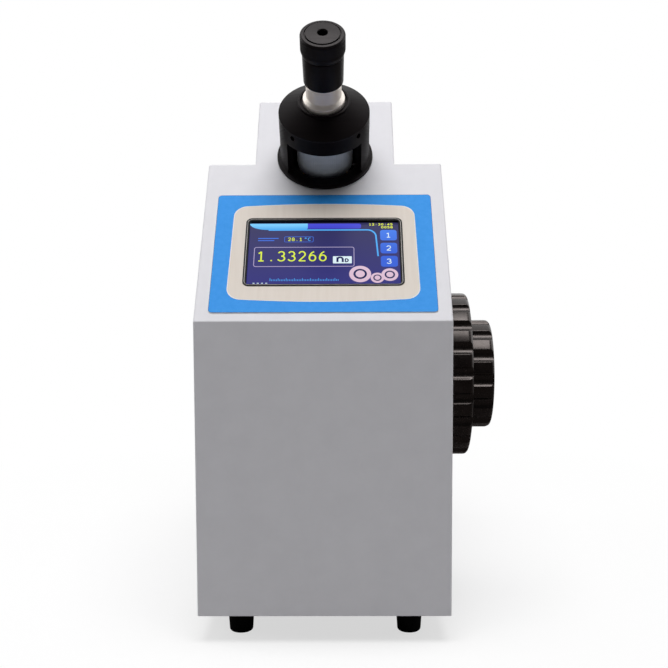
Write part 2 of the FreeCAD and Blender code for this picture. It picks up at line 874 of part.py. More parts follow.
def eyepiece_neck():
    """Turned silver neck: its foot ring stands in the cap's collar, with a cone above it."""
    spigot_low = drum_spigot_high + axial_gap + 2.5
    profile = [(silver_bore, spigot_low), (neck_bore, spigot_low), (neck_bore, cap_recess),
               (foot_ring_radius, cap_recess), (foot_ring_radius, foot_ring_high - foot_ring_edge),
               (foot_ring_radius - foot_ring_edge, foot_ring_high), (silver_radius, silver_cone_high),
               (silver_radius, silver_step_low), (silver_radius - silver_step, silver_step_low + silver_step),
               (silver_radius - silver_step, silver_high), (silver_spigot_radius, silver_high),
               (silver_spigot_radius, silver_spigot_high), (silver_bore, silver_spigot_high)]
    return on_tower(turned(profile))


def eyepiece_sleeve():
    """Black sleeve on the neck, in which the lens cell slides: it widens slightly upwards."""
    bore = lens_cell_radius + running_gap
    profile = [(silver_spigot_radius, silver_high), (sleeve_low_radius, silver_high),
               (sleeve_radius, silver_high + sleeve_chamfer), (sleeve_top_radius, sleeve_high - 0.3),
               (sleeve_top_radius - 0.3, sleeve_high), (bore, sleeve_high), (bore, silver_spigot_high),
               (silver_spigot_radius, silver_spigot_high)]
    return on_tower(turned(profile))


def reticle():
    """Glass disc with the cross, on the neck's end."""
    return on_tower(rod(lens_cell_radius, (0, 0, silver_spigot_high), reticle_thickness))


def lens_cell():
    """Sliding cell that carries the eye lens."""
    return on_tower(tube(lens_cell_radius, lens_cell_bore, (0, 0, lens_cell_low),
                         lens_cell_high - lens_cell_low))


def eye_lens():
    return on_tower(lens(lens_cell_bore, eye_lens_low, eye_lens_thickness, 1.4))


def eyepiece_head():
    """Focusing ring of the eyepiece, with its slightly domed top disc and the exit hole."""
    bore = lens_cell_radius + running_gap
    low = sleeve_high + axial_gap
    roof = head_high - head_roof
    dome = head_high + head_dome
    groove_outside = groove_radius + groove_width
    profile = [(bore, low), (head_low_radius, low), (head_radius, head_waist),
               (head_radius, head_high - head_edge), (head_radius - head_edge, head_high),
               (groove_outside, head_high + head_ring_rise), (groove_outside, head_high - groove_depth),
               (groove_radius, head_high - groove_depth), (groove_radius, head_high + head_dome_edge),
               (exit_hole_radius + 0.5, dome), (exit_hole_radius, dome - 0.5),
               (exit_hole_radius, roof), (bore, roof)]
    return on_tower(turned(profile))


# Optical carriage


def carriage_outline():
    """Side view of the carriage's webs, clear of the display and under the slope."""
    front = carriage_foot_front
    low = base_thickness
    front_s = (front - display_clearance * slope_sin) / slope_cos
    return [(front, low), (front, slope_point(front_s, display_clearance)[1]),
            slope_point(top_plate_low, display_clearance), slope_point(top_plate_low, wall),
            slope_point(top_plate_high, wall), (scan_y + carriage_shoulder, scan_z + carriage_shoulder),
            (carriage_foot_rear, scan_z + carriage_rear_rise), (carriage_foot_rear, low)]


def optical_carriage():
    """Cast frame from the base plate to the slope: it holds the optics and the handwheel's shaft."""
    inner = carriage_half_width - carriage_web
    webs = [side_plate(carriage_outline(), -carriage_half_width, -inner),
            side_plate(carriage_outline(), inner, carriage_half_width)]
    top = Part.makeBox(2 * carriage_half_width, top_plate_high - top_plate_low, carriage_top_plate,
                       Vector(-carriage_half_width, top_plate_low, -wall - carriage_top_plate))
    foot_plate = box(-carriage_half_width, carriage_half_width, carriage_foot_front, carriage_foot_rear,
                     base_thickness, base_thickness + carriage_foot_thickness)
    tie = box(-carriage_half_width, carriage_half_width, carriage_foot_rear - carriage_web,
              carriage_foot_rear, base_thickness, scan_z - tie_drop)
    frame = foot_plate.multiFuse([webs[0], webs[1], on_slope(top), tie])
    arm_right = inner + 0.01
    frame = frame.fuse(box(fold_mirror_size / 2 + 2, arm_right, fold_mirror_y - 4, fold_mirror_y + 6,
                           scan_z - 3, scan_z + 7))
    cuts = [on_tower(rod(housing_radius + fit_gap, (0, 0, -wall - carriage_top_plate - 1),
                         carriage_top_plate + 2)),
            rod(scan_shaft_radius + running_gap, (-carriage_half_width - 1, scan_y, scan_z),
                2 * carriage_half_width + 2, X_AXIS),
            rod(shaft_radius + running_gap, (inner - 1, wheel_y, wheel_z), carriage_web + 2, X_AXIS),
            rod(light_port_radius, (-carriage_half_width - 1, fold_mirror_y, scan_z),
                carriage_web + 2, X_AXIS)]
    front_y = carriage_foot_front + web_window_front
    rear_window_y = carriage_foot_rear - web_window_rear
    windows = [(front_y, web_window_low, web_window_radius),
               (rear_window_y, web_window_low, web_window_radius),
               (rear_window_y, web_window_high, web_window_radius),
               (*slope_point(web_eye_slope, web_eye_depth), web_eye_radius)]
    for y, z, radius in windows:
        cuts.append(rod(radius, (-carriage_half_width - 1, y, z), 2 * carriage_half_width + 2, X_AXIS))
    return frame.cut(Part.Compound(cuts)).removeSplitter()


def fold_mirror():
    """Fixed mirror that turns the light from the prism towards the scanning mirror."""
    size, thick = fold_mirror_size, mirror_thickness
    plate = box(-size / 2, size / 2, 0, thick, -size / 2, size / 2)
    plate.rotate(Vector(0, 0, 0), Z_AXIS, -45)
    plate.translate(Vector(0, fold_mirror_y, scan_z))
    reach = fold_mirror_size / 2 + 2
    holder = box(1, reach, fold_mirror_y - 4, fold_mirror_y + 3, scan_z - 3, scan_z + 7)
    holder = holder.cut(swept_front(plate))
    return plate.fuse(holder).removeSplitter()


def swept_front(plate):
    """The space in front of the fixed mirror, which the light needs."""
    reach = mirror_space
    space = box(-reach, reach, -reach, 0, -reach, reach)
    space.rotate(Vector(0, 0, 0), Z_AXIS, -45)
    space.translate(Vector(0, fold_mirror_y, scan_z))
    return space


def facing_block(width, height, near, far):
    """A block on the scanning axis, between two distances along the mirror's normal."""
    block = Part.makeBox(width, height, far - near, Vector(-width / 2, -height / 2, near))
    block.rotate(Vector(0, 0, 0), X_AXIS, math.degrees(math.atan2(slope_sin + 1, slope_cos)))
    block.translate(Vector(0, scan_y, scan_z))
    return block


def scan_shaft():
    """Shaft of the scanning mirror, with a flat for the mirror."""
    shaft = rod(scan_shaft_radius, (scan_shaft_left, scan_y, scan_z),
                scan_shaft_right - scan_shaft_left, X_AXIS)
    shaft = shaft.cut(facing_block(mirror_width + 0.4, mirror_height, mirror_seat, scan_shaft_radius + 1))
    collar_start = carriage_half_width + axial_gap
    return shaft.fuse(rod(scan_shaft_radius + 2.5, (collar_start, scan_y, scan_z),
                          scan_shaft_right - collar_start, X_AXIS))


def scan_mirror():
    """Scanning mirror on the shaft's flat."""
    return facing_block(mirror_width, mirror_height, mirror_seat, mirror_seat + mirror_thickness)


def encoder_disc():
    """Glass scale disc on the scanning shaft."""
    start = -carriage_half_width - 1.3 - encoder_thickness
    return tube(encoder_radius, scan_shaft_radius, (start, scan_y, scan_z), encoder_thickness, X_AXIS)


def sector_gear():
    """Toothed sector that the handwheel's pinion drives."""
    dy, dz = wheel_y - scan_y, wheel_z - scan_z
    reach = math.hypot(dy, dz)
    heading = math.degrees(math.atan2(dz, dy))
    rim_radius = reach - pinion_radius - mesh_gap
    teeth = round(360 * rim_radius / (pinion_radius * 360 / pinion_teeth))
    disc = tube(rim_radius, rim_radius - sector_rim, (0, 0, 0), sector_thickness)
    far = 2 * rim_radius
    spread = far * math.tan(math.radians(sector_half_angle))
    points = [Vector(0, 0, 0), Vector(far, spread, 0), Vector(far, -spread, 0)]
    wedge = Part.Face(Part.makePolygon(points + points[:1])).extrude(Vector(0, 0, sector_thickness))
    rim = disc.common(wedge)
    half = sector_arm / 2
    arm = box(0, rim_radius - sector_rim / 2, -half, half, 0, sector_thickness)
    gear = rim.fuse(arm).fuse(rod(sector_hub_radius, (0, 0, -2), sector_thickness + 4))
    pitch = 360.0 / teeth
    slot = Part.makeBox(1.6, math.radians(pitch) * rim_radius / 2, sector_thickness,
                        Vector(rim_radius - 1.4, -math.radians(pitch) * rim_radius / 4, 0))
    slots = []
    count = int(sector_half_angle / pitch)
    for index in range(-count, count + 1):
        tooth_gap = slot.copy()
        tooth_gap.rotate(Vector(0, 0, 0), Z_AXIS, index * pitch)
        slots.append(tooth_gap)
    gear = gear.cut(Part.Compound(slots)).cut(rod(scan_shaft_radius, (0, 0, -3), sector_thickness + 6))
    gear = gear.removeSplitter()
    gear.rotate(Vector(0, 0, 0), Z_AXIS, heading)
    gear.transformShape(FreeCAD.Matrix(0, 0, 1, sector_x, 1, 0, 0, scan_y, 0, 1, 0, scan_z, 0, 0, 0, 1))
    return gear


# Handwheels


def fluted_wheel(radius, thickness, flutes, chord, turn, bore, x):
    """A handwheel with rounded grooves round its rim, the first one turn degrees from the bottom."""
    wheel = Part.makeCylinder(radius, thickness)
    front = [e for e in wheel.Edges if len(e.Vertexes) == 1 and e.BoundBox.ZMin > thickness / 2]
    wheel = wheel.makeFillet(wheel_rounding, front)
    cutter_radius = ((chord / 2) ** 2 + flute_depth ** 2) / (2 * flute_depth)
    cutter = rod(cutter_radius, (radius - flute_depth + cutter_radius, 0, -1), thickness + 2)
    wheel = wheel.cut(Part.Compound(ring_of(cutter, flutes, Vector(0, 0, 0), Z_AXIS, turn)))
    wheel = wheel.cut(rod(bore, (0, 0, -1), thickness + 2))
    wheel.rotate(Vector(0, 0, 0), Y_AXIS, 90)
    wheel.translate(Vector(x, wheel_y, wheel_z))
    return wheel


def coarse_handwheel():
    """Large wheel of the two, next to the casing."""
    return fluted_wheel(coarse_radius, coarse_thickness, coarse_flutes, coarse_flute_chord,
                        coarse_flute_turn, shaft_radius, coarse_x)


def fine_handwheel():
    """Small wheel of the two, with a capped hub in a shallow recess."""
    wheel = fluted_wheel(fine_radius, fine_thickness, fine_flutes, fine_flute_chord,
                         fine_flute_turn, fine_shaft_radius, fine_x)
    recess = tube(hub_recess_radius, hub_cap_radius, (right_most - hub_recess, wheel_y, wheel_z),
                  hub_recess + 1, X_AXIS)
    face = rod(hub_cap_radius, (right_most - hub_recess + hub_cap_height, wheel_y, wheel_z), 2, X_AXIS)
    plug = rod(hub_cap_radius, (right_most - hub_recess - 2, wheel_y, wheel_z), 2 + hub_cap_height, X_AXIS)
    return wheel.cut(recess).cut(face).fuse(plug).removeSplitter()


def coarse_shaft():
    """Hollow shaft of the large wheel, with its pinion and retaining ring."""
    bore = fine_shaft_radius + running_gap
    right = coarse_x + coarse_thickness
    shaft = rod(shaft_radius, (shaft_left, wheel_y, wheel_z), right - shaft_left, X_AXIS)
    pinion = rod(pinion_radius, (sector_x - 1, wheel_y, wheel_z), sector_thickness + 2, X_AXIS)
    pitch = 2 * math.pi * pinion_radius / pinion_teeth
    slot = Part.makeBox(sector_thickness + 2, pitch / 2, 1.4,
                        Vector(sector_x - 1, wheel_y - pitch / 4, wheel_z + pinion_radius - 1.2))
    slots = ring_of(slot, pinion_teeth, Vector(0, wheel_y, wheel_z), X_AXIS)
    ring_right = carriage_half_width - carriage_web - axial_gap
    ring = rod(retainer_radius, (ring_right - retainer_thickness, wheel_y, wheel_z),
               retainer_thickness, X_AXIS)
    solid = shaft.fuse(pinion.cut(Part.Compound(slots))).fuse(ring)
    return solid.cut(rod(bore, (shaft_left - 1, wheel_y, wheel_z), right - shaft_left + 2, X_AXIS))


def fine_shaft():
    """Inner shaft of the small wheel, held by a collar at its inner end."""
    left = shaft_left - axial_gap - fine_collar
    end = right_most - hub_recess - 2
    shaft = rod(fine_shaft_radius, (left, wheel_y, wheel_z), end - left, X_AXIS)
    return shaft.fuse(rod(fine_collar_radius, (left, wheel_y, wheel_z), fine_collar, X_AXIS))


def handwheel_bush():
    """Flanged bush in the casing's right side, round the hollow shaft."""
    left = case_half - wall - bush_inside
    body = tube(bush_radius, shaft_radius + running_gap, (left, wheel_y, wheel_z),
                coarse_x - axial_gap - left, X_AXIS)
    flange = tube(bush_flange_radius, shaft_radius + running_gap,
                  (case_half - wall - bush_flange, wheel_y, wheel_z), bush_flange, X_AXIS)
    return body.fuse(flange).removeSplitter()


# Prism table


def hinge_segments():
    """Barrel lengths along Y: the lower box has the first, third and fifth."""
    step = prism_length / 5
    return [(prism_front + i * step + 0.15, prism_front + (i + 1) * step - 0.15) for i in range(5)]


def hinge_knuckles(which, z_side):
    """Barrels of the lid's hinge, each tied to its box by a web."""
    knuckles = []
    for index in which:
        y0, y1 = hinge_segments()[index]
        barrel = rod(hinge_barrel_radius, (hinge_x, y0, prism_split), y1 - y0, Y_AXIS)
        low, high = sorted((prism_split + z_side * prism_gap / 2, prism_split + z_side * hinge_barrel_radius))
        web = box(hinge_x, prism_left + 1, y0, y1, low, high)
        knuckles.append(barrel.fuse(web))
    return knuckles


def barrel_rooms(which):
    """Room round the other box's barrels."""
    rooms = []
    for index in which:
        y0, y1 = hinge_segments()[index]
        rooms.append(rod(hinge_barrel_radius + axial_gap, (hinge_x, y0 - 0.15, prism_split),
                         y1 - y0 + 0.3, Y_AXIS))
    return rooms


def pivot_hole(radius):
    return rod(radius, (hinge_x, prism_front - 2, prism_split), prism_length + 4, Y_AXIS)


def nipple_pair(height, bore_only=False):
    """Two barbed hose nipples on the rear end of a prism box."""
    shapes = []
    for side in (-1, 1):
        x = prism_mid_x + side * nipple_spread / 2
        if bore_only:
            shapes.append(rod(nipple_bore, (x, prism_rear - 3, height), nipple_length + 4, Y_AXIS))
            continue
        stem = rod(nipple_radius, (x, prism_rear, height), nipple_length, Y_AXIS)
        for start in (nipple_length * 0.45, nipple_length * 0.7):
            barb = Part.makeCone(nipple_barb_radius, nipple_radius, 3.0,
                                 Vector(x, prism_rear + start, height), Y_AXIS)
            stem = stem.fuse(barb)
        hexagon = Part.makeCylinder(nipple_barb_radius + 1.0, 2.5, Vector(x, prism_rear, height), Y_AXIS)
        shapes.append(stem.fuse(hexagon).cut(
            rod(nipple_bore, (x, prism_rear - 1, height), nipple_length + 4, Y_AXIS)))
    return shapes


def refracting_prism_box():
    """Fixed, water-jacketed lower box on the deck, with its light exit."""
    body = box(prism_left, prism_right, prism_front, prism_rear, prism_base, prism_split - prism_gap / 2)
    foot_plate = box(prism_left + 1, prism_right, prism_front - prism_foot_margin,
                     prism_rear + prism_foot_margin, deck_height, prism_base)
    spigot = rod(exit_spigot_radius, (prism_right - 1, fold_mirror_y, scan_z),
                 exit_spigot_end - prism_right + 1, X_AXIS)
    solid = body.fuse(foot_plate).fuse(spigot).multiFuse(hinge_knuckles((0, 2, 4), -1))
    pocket = box(prism_left + prism_wall, prism_right - prism_wall, prism_front + prism_wall,
                 prism_rear - prism_wall, prism_split - prism_pocket, prism_split)
    beam = rod(exit_spigot_radius - 2, (prism_right - prism_wall - 1, fold_mirror_y, scan_z),
               exit_spigot_end - prism_right + prism_wall + 2, X_AXIS)
    cuts = [pocket, beam, pivot_hole(hinge_pin_radius)] + nipple_pair(lower_nipple_height, True)
    cuts += barrel_rooms((1, 3))
    cuts.append(rod(probe_radius - 1, (prism_mid_x, prism_front - 1, probe_height), 4, Y_AXIS))
    return solid.cut(Part.Compound(cuts)).removeSplitter()


def prism_block(low, high, slant_low):
    """Glass prism that fills its pocket, with one slanting long face."""
    gap = fit_gap
    left, right = prism_left + prism_wall + gap, prism_right - prism_wall - gap
    front, rear = prism_front + prism_wall + gap, prism_rear - prism_wall - gap
    cut = 4.0
    if slant_low:
        outline = [(left + cut, low), (right - cut, low), (right, high), (left, high)]
    else:
        outline = [(left, low), (right, low), (right - cut, high), (left + cut, high)]
    points = [Vector(x, front, z) for x, z in outline]
    return Part.Face(Part.makePolygon(points + points[:1])).extrude(Vector(0, rear - front, 0))


def refracting_prism():
    top = prism_split - prism_gap / 2
    return prism_block(prism_split - prism_pocket, top, True)


def lower_hose_nipples():
    return Part.Compound(nipple_pair(lower_nipple_height))


def prism_hinge_pin():
    """Pin through all five barrels of the lid's hinge."""
    return rod(hinge_pin_radius, (hinge_x, prism_front - 1, prism_split), prism_length + 2, Y_AXIS)


def temperature_probe():
    """Probe between the recess's front wall and the lower box."""
    nut = rod(probe_radius + 1.2, (prism_mid_x, recess_y, probe_height), 3.0, Y_AXIS)
    stem = rod(probe_radius, (prism_mid_x, recess_y - wall, probe_height),
               prism_front - recess_y + wall, Y_AXIS)
    tip = rod(probe_radius - 1, (prism_mid_x, prism_front - 0.5, probe_height), 3.0, Y_AXIS)
    return stem.fuse(nut).fuse(tip)


def illuminating_prism_box():
    """Hinged lid over the lower box, with a window for the lamp and a lug for the latch."""
    low = prism_split + prism_gap / 2
    body = box(prism_left, prism_right, prism_front, prism_rear, low, low + prism_lid_height)
    solid = body.multiFuse(hinge_knuckles((1, 3), 1))
    pocket = box(prism_left + prism_wall, prism_right - prism_wall, prism_front + prism_wall,
                 prism_rear - prism_wall, low - 1, low + prism_lid_height - 3)
    window = box(prism_left + prism_wall + 2, prism_right - prism_wall - 2, prism_front + 10,
                 prism_rear - 10, low, low + prism_lid_height + 1)
    cuts = [pocket, window, pivot_hole(hinge_pin_radius + running_gap)]
    cuts += nipple_pair(upper_nipple_height, True)
    cuts += barrel_rooms((0, 2, 4))
    return solid.cut(Part.Compound(cuts)).removeSplitter()


def illuminating_prism():
    low = prism_split + prism_gap / 2
    return prism_block(low, low + prism_lid_height - 3, False)


def upper_hose_nipples():
    return Part.Compound(nipple_pair(upper_nipple_height))


def latch_knob():
    """Knob that locks the lid, on the lid's front end."""
    x = prism_right - latch_inset
    knob = rod(latch_radius, (x, prism_front - latch_length, latch_height), latch_length - 1.5, Y_AXIS)
    grooves = [rod(0.8, (x, prism_front - latch_length - 1, latch_height + latch_radius + 0.3),
                   latch_length, Y_AXIS)]
    cutters = ring_of(grooves[0], 12, Vector(x, 0, latch_height), Y_AXIS)
    spindle = rod(2.0, (x, prism_front - 1.5 - 0.5, latch_height), 2.0 - axial_gap, Y_AXIS)
    return knob.cut(Part.Compound(cutters)).fuse(spindle)


def lamp_post():
    """Post on the deck that carries the lamp's arm."""
    flange = rod(lamp_post_radius + 3.5, (prism_mid_x, lamp_post_y, deck_height), 3.0)
    post = rod(lamp_post_radius, (prism_mid_x, lamp_post_y, deck_height),
               lamp_arm_low - axial_gap - deck_height)
    pin = rod(lamp_post_radius - 2, (prism_mid_x, lamp_post_y, deck_height),
              lamp_arm_low + lamp_arm_thickness + 1.0 - deck_height)
    return flange.fuse(post).fuse(pin).removeSplitter()


def lamp_arm():
    """Arm over the prism table that swings outwards on the post."""
    half = lamp_arm_width / 2
    lamp_y = (prism_front + prism_rear) / 2
    low, high = lamp_arm_low, lamp_arm_low + lamp_arm_thickness
    bar = box(prism_mid_x - half, prism_mid_x + half, lamp_y + lamp_head_radius - 1, lamp_post_y, low, high)
    eye = rod(lamp_post_radius + 2, (prism_mid_x, lamp_post_y, low), lamp_arm_thickness)
    ring = tube(lamp_head_radius + 1.5, lamp_head_radius, (prism_mid_x, lamp_y, low), lamp_arm_thickness)
    arm = bar.fuse(eye).fuse(ring)
    arm = arm.cut(rod(lamp_head_radius, (prism_mid_x, lamp_y, low - 1), lamp_arm_thickness + 2))
    return arm.cut(rod(lamp_post_radius - 2 + running_gap, (prism_mid_x, lamp_post_y, low - 1),
                       lamp_arm_thickness + 2)).removeSplitter()


def lamp_head():
    """Small lamp with its diffuser, held in the arm's ring."""
    lamp_y = (prism_front + prism_rear) / 2
    body = rod(lamp_head_radius, (prism_mid_x, lamp_y, lamp_head_low), lamp_head_high - lamp_head_low)
    rims = [e for e in body.Edges if len(e.Vertexes) == 1 and e.BoundBox.ZMin > lamp_head_high - 0.1]
    mouth = rod(lamp_head_radius - 1.5, (prism_mid_x, lamp_y, lamp_head_low - 1), 2.0)
    return body.makeFillet(2.0, rims).cut(mouth)


# Electronics


def main_board_corners():
    """Pillars of the main board."""
    half_x = main_board_width / 2 - main_board_pillar_inset
    half_y = main_board_length / 2 - main_board_pillar_inset
    middle = board_middle_y()
    return [(sx * half_x, middle + sy * half_y) for sx in (-1, 1) for sy in (-1, 1)]


def board_middle_y():
    """Middle of the space between the carriage and the rear panel."""
    return carriage_foot_rear + rear_space / 2


def main_board():
    """Control board on pillars, above the power supply."""
    half_x = main_board_width / 2
    front, low = board_middle_y() - main_board_length / 2, main_board_height
    board = box(-half_x, half_x, front, front + main_board_length, low, low + board_thickness)
    chips = [(-40, 0.29, 24, 24, 3), (0, 0.23, 16, 16, 2), (10, 0.6, 30, 12, 9), (-44, 0.7, 12, 18, 12)]
    for x, share, width, length, tall in chips:
        y = front + share * main_board_length
        board = board.fuse(box(x, x + width, y, y + length,
                               low + board_thickness, low + board_thickness + tall))
    return board


def power_supply():
    """Enclosed supply on the base plate, behind the carriage."""
    front = carriage_foot_rear + supply_front_gap
    rear = carriage_foot_rear + rear_space - supply_rear_gap
    return box(-supply_width / 2, supply_width / 2, front, rear,
               base_thickness, base_thickness + supply_height)


def power_inlet():
    """Mains inlet: a flange on the rear cover, a cavity and three pins."""
    half_w, half_h = inlet_flange_width / 2, inlet_flange_height / 2
    z = panel_row_height
    flange = box(inlet_x - half_w, inlet_x + half_w, rear_y, rear_most, z - half_h, z + half_h)
    body = box(inlet_x - inlet_width / 2, inlet_x + inlet_width / 2, rear_y - inlet_depth, rear_y,
               z - inlet_height / 2, z + inlet_height / 2)
    cavity = box(inlet_x - inlet_width / 2 + 2, inlet_x + inlet_width / 2 - 2, rear_most - inlet_cavity,
                 rear_most + 1, z - inlet_height / 2 + 2.2, z + inlet_height / 2 - 2.2)
    solid = flange.fuse(body).cut(cavity)
    for x, dz in ((-7, -2.0), (7, -2.0), (0, 2.0)):
        solid = solid.fuse(box(inlet_x + x - 1, inlet_x + x + 1, rear_most - inlet_cavity - 1,
                               rear_most - inlet_cavity + inlet_pin, z + dz - 2, z + dz + 2))
    screws, holes = [], []
    for side in (-1, 1):
        seat = Vector(inlet_x + side * (half_w - inlet_screw_inset), rear_most - inlet_screw_head, z)
        screws.append(pan_screw(inlet_screw_radius, inlet_screw_head - 0.1, 1.2, 1.0, seat, Y_AXIS))
        holes.append(Part.makeCylinder(inlet_screw_radius + 0.2, 2 * inlet_screw_head, seat, Y_AXIS))
    return solid.cut(Part.Compound(holes)).multiFuse(screws).removeSplitter()


def switch_housing():
    """Frame of the power switch."""
    half_w, half_h = switch_width / 2, switch_height / 2
    z = panel_row_height
    rim = box(switch_x - half_w - 1.5, switch_x + half_w + 1.5, rear_y, rear_y + 1.5,
              z - half_h - 1.5, z + half_h + 1.5)
    body = box(switch_x - half_w, switch_x + half_w, rear_y - switch_depth, rear_y, z - half_h, z + half_h)
    cavity = box(switch_x - half_w + 2, switch_x + half_w - 2, rear_y - switch_depth + 4, rear_y + 3,
                 z - half_h + 2, z + half_h - 2)
    pivot = rod(rocker_pin_radius, (switch_x - half_w + 1, rear_y - rocker_pivot, z),
                switch_width - 2, X_AXIS)
    return rim.fuse(body).cut(cavity).fuse(pivot)


def power_rocker():
    """Rocker of the power switch, drawn in its off position."""
    half_w = switch_width / 2 - 2 - 0.3
    half_h = switch_height / 2 - 2 - 0.8
    y = rear_y - rocker_pivot
    outline = [(-half_h * 0.55, -4.5), (half_h * 0.55, -4.5), (half_h, 4.2), (half_h - 0.6, 5.0),
               (0, 3.8), (0.6 - half_h, 5.0), (-half_h, 4.2)]
    points = [Vector(switch_x - half_w, y + out, panel_row_height + up) for up, out in outline]
    rocker = Part.Face(Part.makePolygon(points + points[:1])).extrude(Vector(2 * half_w, 0, 0))
    rocker = rocker.cut(rod(rocker_pin_radius + running_gap, (switch_x - half_w - 1, y, panel_row_height),
                            2 * half_w + 2, X_AXIS))
    rocker.rotate(Vector(switch_x, y, panel_row_height), X_AXIS, -rocker_tilt)
    return rocker


def serial_port():
    """Nine-pole port on its small board, behind the rear cover."""
    z = panel_row_height
    plate = box(port_x - port_width / 2, port_x + port_width / 2, case_depth - 1.2, case_depth,
                z - port_height / 2, z + port_height / 2)
    shell = box(port_x - port_shell_width / 2, port_x + port_shell_width / 2, case_depth - 8,
                rear_y + port_shell_proud, z - port_shell_height / 2, z + port_shell_height / 2)
    mouth = box(port_x - port_shell_width / 2 + 0.8, port_x + port_shell_width / 2 - 0.8,
                rear_y + port_shell_proud - 5.5, rear_y + port_shell_proud + 1,
                z - port_shell_height / 2 + 0.8, z + port_shell_height / 2 - 0.8)
    port = plate.fuse(shell).cut(mouth)
    floor = rear_y + port_shell_proud - 5.5
    for count, dz in ((5, 1.4), (4, -1.4)):
        for index in range(count):
            x = port_x + (index - (count - 1) / 2) * 2.8
            port = port.fuse(rod(0.5, (x, floor - 0.5, z + dz), 4.0, Y_AXIS))
    return port


def build():
    """Every named piece of the instrument, still in the casing's own coordinates."""
    pieces = {name: foot(x, y) for name, (x, y) in foot_places().items()}
    makers = (base_plate, main_cover, rear_cover, casing_screws, panel_overlay, display_bezel,
              touch_glass, lcd_module, display_board, board_standoffs, tower_cage, tower_cap,
              cap_set_screws, tower_housing, compensator_drum, drum_prism, counter_cell, counter_prism,
              idler_pinion, idler_pin, objective_lens, eyepiece_neck, eyepiece_sleeve, reticle,
              lens_cell, eye_lens, eyepiece_head, optical_carriage, fold_mirror, scan_shaft,
              scan_mirror, encoder_disc, sector_gear, coarse_handwheel, coarse_shaft, fine_handwheel,
              fine_shaft, handwheel_bush, refracting_prism_box, refracting_prism, lower_hose_nipples,
              prism_hinge_pin, temperature_probe, illuminating_prism_box, illuminating_prism,
              upper_hose_nipples, latch_knob, lamp_post, lamp_arm, lamp_head, main_board,
              power_supply, power_inlet, switch_housing, power_rocker, serial_port)
    for maker in makers:
        pieces[maker.__name__] = maker()
    return pieces


def report(name, point):
    """Prints a place in the finished part's own frame, in millimetres."""
    moved = Vector(*point) - origin
    print(f"{name:22s} {moved.x:9.3f} {moved.y:9.3f} {moved.z:9.3f}")


def main():
    os.makedirs("parts", exist_ok=True)
    for name, shape in build().items():
        placed = shape.copy()
        placed.translate(origin * -1)
        placed.exportStep(f"parts/{name}.step")
        print(f"{name:24s} solids {len(placed.Solids)} valid {placed.isValid()} volume {placed.Volume:.0f}")
    report("handwheel axis", (coarse_x, wheel_y, wheel_z))
    report("scan axis", (0, scan_y, scan_z))
    tower_y, tower_z = slope_point(tower_slope, 0)
    report("tower foot", (0, tower_y, tower_z))
    report("lid hinge", (hinge_x, prism_front, prism_split))
    report("latch axis", (prism_right - latch_inset, prism_front, latch_height))
    report("lamp axis", (prism_mid_x, lamp_post_y, lamp_arm_low))
    report("rocker axis", (switch_x, rear_y - rocker_pivot, panel_row_height))
    idler_y, idler_z = slope_point(tower_slope, -(drum_low + cell_high) / 2)
    report("idler axis", (0, idler_y, idler_z))


main()
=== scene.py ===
# %% [markdown]
# # A benchtop refractometer
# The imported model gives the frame: every solid at its real size and place, and every joint.
# This lesson dresses it. Solids whose shape is right keep their mesh and get a finish, and the
# pieces that the eye rests on (eyepiece, handwheels, printed panel) are made again, finer.

import json
import math

import bpy
import numpy as np
from mathutils import Matrix, Vector


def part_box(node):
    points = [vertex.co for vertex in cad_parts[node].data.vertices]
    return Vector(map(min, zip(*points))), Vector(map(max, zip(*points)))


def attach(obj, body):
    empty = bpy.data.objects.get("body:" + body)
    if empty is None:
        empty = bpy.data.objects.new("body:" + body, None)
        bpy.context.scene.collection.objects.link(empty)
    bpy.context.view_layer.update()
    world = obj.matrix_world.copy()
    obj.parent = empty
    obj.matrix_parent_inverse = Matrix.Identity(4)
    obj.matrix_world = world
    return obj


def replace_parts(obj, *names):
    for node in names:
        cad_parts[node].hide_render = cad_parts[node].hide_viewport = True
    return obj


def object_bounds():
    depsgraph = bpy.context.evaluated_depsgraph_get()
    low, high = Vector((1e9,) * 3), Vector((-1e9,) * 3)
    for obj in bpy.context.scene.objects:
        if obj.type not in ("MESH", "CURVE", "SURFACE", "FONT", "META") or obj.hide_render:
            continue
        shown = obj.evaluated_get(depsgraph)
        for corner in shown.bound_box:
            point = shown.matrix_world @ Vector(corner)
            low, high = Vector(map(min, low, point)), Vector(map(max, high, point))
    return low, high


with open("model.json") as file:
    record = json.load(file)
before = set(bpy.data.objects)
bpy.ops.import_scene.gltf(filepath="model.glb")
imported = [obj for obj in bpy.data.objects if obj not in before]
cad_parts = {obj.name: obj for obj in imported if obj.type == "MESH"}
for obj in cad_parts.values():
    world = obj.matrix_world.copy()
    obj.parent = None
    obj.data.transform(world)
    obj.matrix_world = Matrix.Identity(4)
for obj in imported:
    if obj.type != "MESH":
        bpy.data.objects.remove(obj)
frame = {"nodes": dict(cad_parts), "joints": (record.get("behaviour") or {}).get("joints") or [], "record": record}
nodes = frame["nodes"]
cad_low, cad_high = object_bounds()
print("CAD box in mm:", [round(1000 * v) for v in cad_high - cad_low])

# %% [markdown]
# ## Three places to build in
# The display and the eyepiece tower sit on a face that leans back 45 degrees, and the handwheels
# turn on a level axis. Building each in its own simple coordinates and turning the finished points
# is easier to read than sines in every formula. The places come from the frame's own boxes.

# %% Slope, tower and handwheel coordinates
MM = 0.001
tower_slope = 144.4
overlay_low, overlay_high, overlay_half = 6.1, 107.5, 69.6
lean = math.radians(45)

cover_low, cover_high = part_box("main_cover")
crease = np.array([(cover_low.x + cover_high.x) / 2, cover_low.y,
                   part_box("panel_overlay")[0].z - overlay_low * MM * math.sin(lean)])
wheel_joint = next(j for j in frame["joints"] if j["name"] == "coarse_wheel_turn")
wheel_y, wheel_z = wheel_joint["pos_m"][1:]


